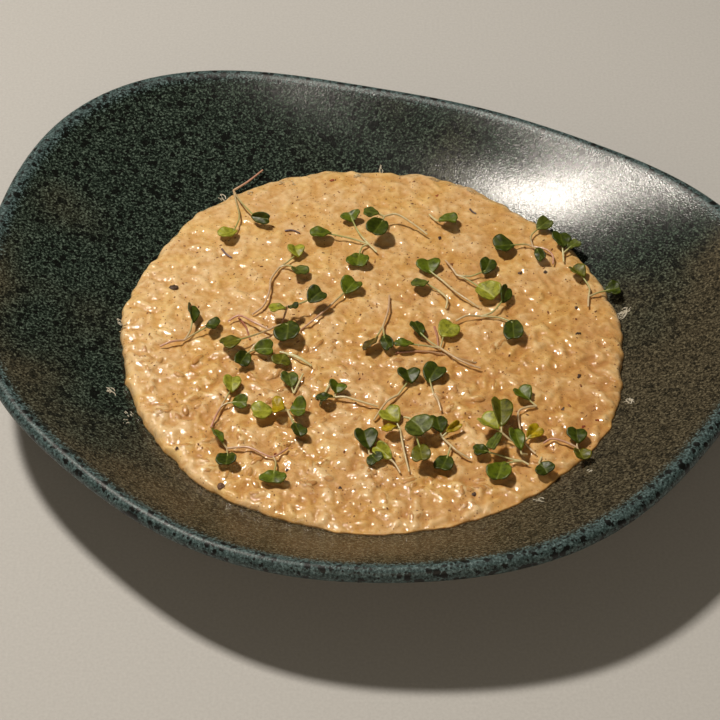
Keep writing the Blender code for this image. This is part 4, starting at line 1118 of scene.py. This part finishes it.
def build_sprig(key, sprig, tree, leaf_material, stem_material, draw):
    """One sprig: a stem that forks to stalks, each with its heart-shaped seed leaf."""
    lift = sprig.lift * MM
    root, pale, green = linear(STEM_ROOT), linear(STEM_PALE), linear(STEM_GREEN)
    first = [low + (high - low) * sprig.blush for low, high in zip(pale, root)]
    fork_tint = [low + (high - low) * FORK_BLUSH * sprig.blush for low, high in zip(pale, root)]
    stem_path = lifted_path(sprig.stem, 0.3 * lift, lift, STEM_RADIUS, STEM_ARCH)
    lines = [shaded_line(stem_path, 0.8 * STEM_RADIUS, STEM_RADIUS, (first, first, fork_tint))]
    shell = bmesh.new()
    layers = {name: shell.verts.layers.float.new(name) for name in ("along", "across")}
    layers["tint"] = shell.verts.layers.float_color.new("tint")
    for index, leaf in enumerate(sprig.leaves):
        fork = stem_path[leaf.fork]
        start = fork.z - resting_height(fork.x, fork.y) - PETIOLE_RADIUS
        rolled = abs(math.sin(math.radians(leaf.roll))) * leaf.width * MM / 2.0
        points = [sprig.stem[leaf.fork], *leaf.petiole]
        path = lifted_path(points, start, lift + rolled * 0.9 + LEAF_WAVE, PETIOLE_RADIUS, 0.0)
        base = path[-1].copy()
        path[-1] = base + leaf_frame(leaf, base)[0].normalized() * PETIOLE_REACH
        lines.append(shaded_line(path, 0.9 * STEM_RADIUS, 0.8 * PETIOLE_RADIUS, (fork_tint, green)))
        add_leaf(shell, layers, leaf, base, 1.7 * index, draw)
    mesh = bpy.data.meshes.new(f"leaves_{key}")
    shell.to_mesh(mesh)
    shell.free()
    mesh.materials.append(leaf_material)
    mesh.shade_smooth()
    blades = new_piece(f"leaves_{key}", mesh)
    thick = blades.modifiers.new("Thickness", "SOLIDIFY")
    thick.thickness = LEAF_THICKNESS
    thick.offset = 0.0
    blade_mesh = evaluated(blades)
    stalks = grow_stalks(f"stalks_{key}", tree, lines, stem_material)
    stalk_mesh = stalks.data
    for guide in (blades, stalks):
        bpy.data.objects.remove(guide)
    declare(joined(f"cress_{key}", [blade_mesh, stalk_mesh]), "leaf", f"sprig_{key}")


def strand_lines(rows):
    """Stalk lines that lie on the food from rows of plan points, radius and two colours."""
    lines = []
    for points, radius, root, tip in rows:
        radius = radius * MM
        path = [Vector((x * MM, y * MM, float(food_top(x * MM, y * MM)) + 0.7 * radius)) for x, y in points]
        path[len(path) // 2].z += 0.4 * radius
        lines.append(shaded_line(path, radius, 0.8 * radius, (linear(root), linear(tip))))
    return lines


def build_loose_stems():
    """Bare stems and dark gill shreds that lie in the cream without a leaf."""
    tree = stalk_tree()
    stems = grow_stalks("loose_stems", tree, strand_lines(LOOSE_STEMS), stem_finish())
    declare(stems, "leaf")
    gills = grow_stalks("gill_shreds", tree, strand_lines(GILL_SHREDS),
                        tinted_finish("mushroom gill", 0.45, 0.3, "8A8078", 1200.0))
    declare(gills, "risotto")


def build_cheese(settings):
    """Fine strands of grated hard cheese where they fell on the wall and over the food's edge."""
    draw = np.random.default_rng(settings.seed + 3)
    dry, melted = linear(DRY_CHEESE), linear(MELTED_CHEESE)
    lines = []
    for start, end in CHEESE_STRANDS:
        for _ in range(settings.strand_bundle):
            scatter = draw.uniform(-STRAND_SCATTER, STRAND_SCATTER, 2)
            shrink = draw.uniform(*STRAND_LENGTHS)
            middle = (np.array(start) + np.array(end)) / 2.0 + scatter
            half = (np.array(end) - np.array(start)) / 2.0 * shrink
            tone = melted if from_edge(*(middle * MM)) > 0.0 else dry
            bend = draw.uniform(-STRAND_BEND, STRAND_BEND) * np.array((-half[1], half[0]))
            line = []
            for share in (-1.0, -0.4, 0.3, 1.0):
                inner = 1.0 - share ** 2
                x, y = (middle + half * share + bend * inner) * MM
                z = float(food_top(x, y)) + STRAND_RADII[0] + STRAND_HUMP * draw.uniform(0.0, 1.0) * inner
                line.append((Vector((x, y, z)), draw.uniform(*STRAND_RADII), tone))
            lines.append(line)
    # Aged hard cheese, finely grated: waxy, ivory, faintly see-through at the edges
    ivory = tinted_finish("grated hard cheese", 0.5, 0.1, "C2BCAE", 1500.0)
    cheese = grow_stalks("grated_cheese", stalk_tree(), lines, ivory, spacing=0.0004, sides=6)
    declare(cheese, "risotto")


# Stage

def matt_card():
    """Pale matt studio card with a faint tooth, so it takes a soft shadow and shows no gloss."""
    material, tree, shader = new_material("pale studio card")
    place = add(tree, "ShaderNodeTexCoord").outputs["Object"]
    tooth = add(tree, "ShaderNodeTexNoise", {"Vector": place, "Scale": 900.0, "Detail": 2.0})
    base = add(tree, "ShaderNodeValToRGB", {0: tooth}, stops=((0.3, "BDBCB9"), (0.7, "C5C4C1")))
    feed(tree, shader, {"Base Color": base, "Roughness": 0.9})
    return material


def aim_from(thing, settings, azimuth, elevation, distance):
    """Stands a lamp or the camera round the dish, facing the aim. Azimuth 0 is behind it, -90 its left."""
    flat = math.cos(elevation) * distance
    arm = Vector((math.sin(azimuth) * flat, math.cos(azimuth) * flat, math.sin(elevation) * distance))
    thing.location = Vector(settings.aim) + arm
    thing.rotation_euler = arm.to_track_quat("Z", "Y").to_euler()


def add_light(name, settings, azimuth, elevation, size, power, tint):
    """A square softbox that faces the dish."""
    data = bpy.data.lights.new(name, "AREA")
    data.shape = "SQUARE"
    data.size = size
    data.energy = power
    data.color = linear(tint)[:3]
    lamp = bpy.data.objects.new(name, data)
    bpy.context.scene.collection.objects.link(lamp)
    aim_from(lamp, settings, azimuth, elevation, settings.light_distance)


def build_stage(settings):
    """Pale floor, two softboxes, dim surround and the camera of the photograph."""
    mesh = bpy.data.meshes.new("floor")
    shell = bmesh.new()
    bmesh.ops.create_circle(shell, cap_ends=True, segments=96, radius=settings.floor_radius)
    shell.to_mesh(mesh)
    shell.free()
    mesh.materials.append(matt_card())
    floor = new_piece("floor", mesh)
    floor.location.z = -0.0001
    add_light("key_softbox", settings, settings.key_azimuth, settings.key_elevation, settings.key_size,
              settings.key_power, KEY_TINT)
    add_light("fill_softbox", settings, FRONT, FILL_ELEVATION, FILL_SIZE, settings.fill_power, FILL_TINT)
    world = bpy.data.worlds.new("studio surround")
    world.use_nodes = True
    surround = world.node_tree.nodes["Background"]
    surround.inputs["Color"].default_value = linear(SURROUND_TINT)
    surround.inputs["Strength"].default_value = settings.surround
    bpy.context.scene.world = world
    data = bpy.data.cameras.new("photo_camera")
    data.lens = settings.lens
    data.sensor_width = 36.0
    data.clip_start = 0.01
    camera = bpy.data.objects.new("photo_camera", data)
    bpy.context.scene.collection.objects.link(camera)
    aim_from(camera, settings, FRONT, settings.camera_elevation, settings.camera_distance)
    bpy.context.scene.camera = camera
    bpy.context.scene.view_settings.view_transform = "Standard"


# Settings, operators and panel

class BowlSettings(bpy.types.PropertyGroup):
    """Sizes of the bowl's turning and glaze."""
    segments: bpy.props.IntProperty(
        name="Segments", description="Steps round the turned bowl", default=192, min=48)
    unevenness: bpy.props.FloatProperty(
        name="Unevenness", description="Waver of the thrown wall and lip", default=0.0002, unit="LENGTH")
    speck_size: bpy.props.FloatProperty(
        name="Speck size", description="Width of the glaze's iron specks", default=0.0009, unit="LENGTH")


class RiceSettings(bpy.types.PropertyGroup):
    """Sizes of the rice, its cream and its seasoning."""
    seed: bpy.props.IntProperty(name="Seed", description="Start of the seeded draws", default=7)
    grain_count: bpy.props.IntProperty(name="Grains", description="Grains in the top layer", default=2900)
    grain_length: bpy.props.FloatProperty(
        name="Grain length", description="Length of a cooked grain", default=0.0070, unit="LENGTH")
    grain_width: bpy.props.FloatProperty(
        name="Grain width", description="Width of a cooked grain", default=0.0030, unit="LENGTH")
    grain_rise: bpy.props.FloatProperty(
        name="Grain rise", description="How far the highest grain stands over the cream", default=0.0014,
        unit="LENGTH")
    grain_show: bpy.props.FloatProperty(
        name="Grain show", description="How far a grain's own skin stands out of the cream on it",
        default=0.00008, unit="LENGTH")
    sauce_coats: bpy.props.IntProperty(
        name="Sauce coats", description="Times that the cream smooths the relief", default=2, min=0)
    pepper_count: bpy.props.IntProperty(name="Pepper specks", description="Specks on the cream", default=560)
    strand_bundle: bpy.props.IntProperty(
        name="Strands", description="Cheese strands at each place", default=6, min=1)


class SprigSettings(bpy.types.PropertyGroup):
    """Finish of the cress."""
    seed: bpy.props.IntProperty(name="Seed", description="Start of the seeded curls", default=11)
    leaf_roughness: bpy.props.FloatProperty(
        name="Leaf roughness", description="Roughness of the waxy leaf skin", default=0.42, min=0.0, max=1.0)


class StageSettings(bpy.types.PropertyGroup):
    """Floor, light and camera."""
    floor_radius: bpy.props.FloatProperty(
        name="Floor radius", description="Radius of the pale floor", default=3.0, unit="LENGTH")
    light_distance: bpy.props.FloatProperty(
        name="Light distance", description="From the dish to the softbox", default=1.3, unit="LENGTH")
    key_azimuth: bpy.props.FloatProperty(
        name="Key azimuth", description="Turn of the softbox round the dish", default=math.radians(-58.0),
        subtype="ANGLE", unit="ROTATION")
    key_elevation: bpy.props.FloatProperty(
        name="Key elevation", description="Height of the softbox over the dish", default=math.radians(64.8),
        subtype="ANGLE", unit="ROTATION")
    key_size: bpy.props.FloatProperty(
        name="Key size", description="Side of the softbox", default=0.12, unit="LENGTH")
    key_power: bpy.props.FloatProperty(
        name="Key power", description="Power of the softbox in watts", default=15.5)
    fill_power: bpy.props.FloatProperty(
        name="Fill power", description="Power of the broad softbox over the camera in watts", default=2.6)
    surround: bpy.props.FloatProperty(name="Surround", description="Brightness of the studio", default=0.07)
    aim: bpy.props.FloatVectorProperty(
        name="Aim", description="Point that the camera looks at", size=3,
        default=(-0.00576, -0.01647, 0.02618), subtype="TRANSLATION", unit="LENGTH")
    camera_distance: bpy.props.FloatProperty(
        name="Camera distance", description="From the aim to the camera", default=0.861, unit="LENGTH")
    camera_elevation: bpy.props.FloatProperty(
        name="Camera elevation", description="Height of the camera over the table",
        default=math.radians(45.0), subtype="ANGLE", unit="ROTATION")
    lens: bpy.props.FloatProperty(
        name="Lens", description="Focal length for a 36 mm frame, in millimetres", default=119.7)


class RISOTTO_OT_bowl(bpy.types.Operator):
    """Builds the glazed stoneware bowl"""
    bl_idname = "risotto.bowl"
    bl_label = "Stoneware bowl"

    def execute(self, context):
        build_bowl(context.scene.risotto_bowl)
        return {"FINISHED"}


class RISOTTO_OT_cream(bpy.types.Operator):
    """Builds the creamy mass of the risotto"""
    bl_idname = "risotto.cream"
    bl_label = "Creamy risotto"

    def execute(self, context):
        build_risotto(context.scene.risotto_rice)
        return {"FINISHED"}


class RISOTTO_OT_rice(bpy.types.Operator):
    """Lays the rice grains that stand out of the cream"""
    bl_idname = "risotto.rice"
    bl_label = "Rice grains"

    def execute(self, context):
        build_rice(context.scene.risotto_rice)
        return {"FINISHED"}


class RISOTTO_OT_seasoning(bpy.types.Operator):
    """Strews mushroom bits, chilli flecks and pepper"""
    bl_idname = "risotto.seasoning"
    bl_label = "Mushroom, chilli and pepper"

    def execute(self, context):
        build_seasoning(context.scene.risotto_rice)
        return {"FINISHED"}


class RISOTTO_OT_cheese(bpy.types.Operator):
    """Drops grated cheese round the edge of the food"""
    bl_idname = "risotto.cheese"
    bl_label = "Grated cheese"

    def execute(self, context):
        build_cheese(context.scene.risotto_rice)
        return {"FINISHED"}


class RISOTTO_OT_sprigs(bpy.types.Operator):
    """Lays the cress sprigs on the risotto"""
    bl_idname = "risotto.sprigs"
    bl_label = "Cress sprigs"

    def execute(self, context):
        settings = context.scene.risotto_sprigs
        draw = np.random.default_rng(settings.seed)
        tree = stalk_tree()
        leaf_material = leaf_finish(settings)
        stem_material = stem_finish()
        for key, sprig in SPRIGS.items():
            build_sprig(key, sprig, tree, leaf_material, stem_material, draw)
        return {"FINISHED"}


class RISOTTO_OT_loose_stems(bpy.types.Operator):
    """Lays bare stems and mushroom shreds in the cream"""
    bl_idname = "risotto.loose_stems"
    bl_label = "Loose stems"

    def execute(self, context):
        build_loose_stems()
        return {"FINISHED"}


class RISOTTO_OT_stage(bpy.types.Operator):
    """Sets the floor, the light and the camera"""
    bl_idname = "risotto.stage"
    bl_label = "Stage"

    def execute(self, context):
        build_stage(context.scene.risotto_stage)
        return {"FINISHED"}


class RISOTTO_PT_panel(bpy.types.Panel):
    """Lists the pieces of the dish"""
    bl_idname = "RISOTTO_PT_panel"
    bl_label = "Risotto"
    bl_space_type = "VIEW_3D"
    bl_region_type = "UI"
    bl_category = "Risotto"

    def draw(self, context):
        for operator in OPERATORS:
            self.layout.operator(operator.bl_idname)
        for name in SETTINGS:
            group = getattr(context.scene, name)
            box = self.layout.box()
            for key in group.bl_rna.properties.keys():
                if key not in ("rna_type", "name"):
                    box.prop(group, key)


OPERATORS = (RISOTTO_OT_stage, RISOTTO_OT_bowl, RISOTTO_OT_cream, RISOTTO_OT_rice, RISOTTO_OT_seasoning,
             RISOTTO_OT_cheese, RISOTTO_OT_loose_stems, RISOTTO_OT_sprigs)
SETTINGS = {"risotto_bowl": BowlSettings, "risotto_rice": RiceSettings, "risotto_sprigs": SprigSettings,
            "risotto_stage": StageSettings}


def register():
    for item in (*SETTINGS.values(), *OPERATORS, RISOTTO_PT_panel):
        bpy.utils.register_class(item)
    for name, group in SETTINGS.items():
        setattr(bpy.types.Scene, name, bpy.props.PointerProperty(type=group))


def unregister():
    for name in SETTINGS:
        delattr(bpy.types.Scene, name)
    for item in reversed((*SETTINGS.values(), *OPERATORS, RISOTTO_PT_panel)):
        bpy.utils.unregister_class(item)


def main():
    """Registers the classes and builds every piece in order."""
    register()
    for operator in OPERATORS:
        family, name = operator.bl_idname.split(".")
        getattr(getattr(bpy.ops, family), name)()


if __name__ == "__main__":
    main()
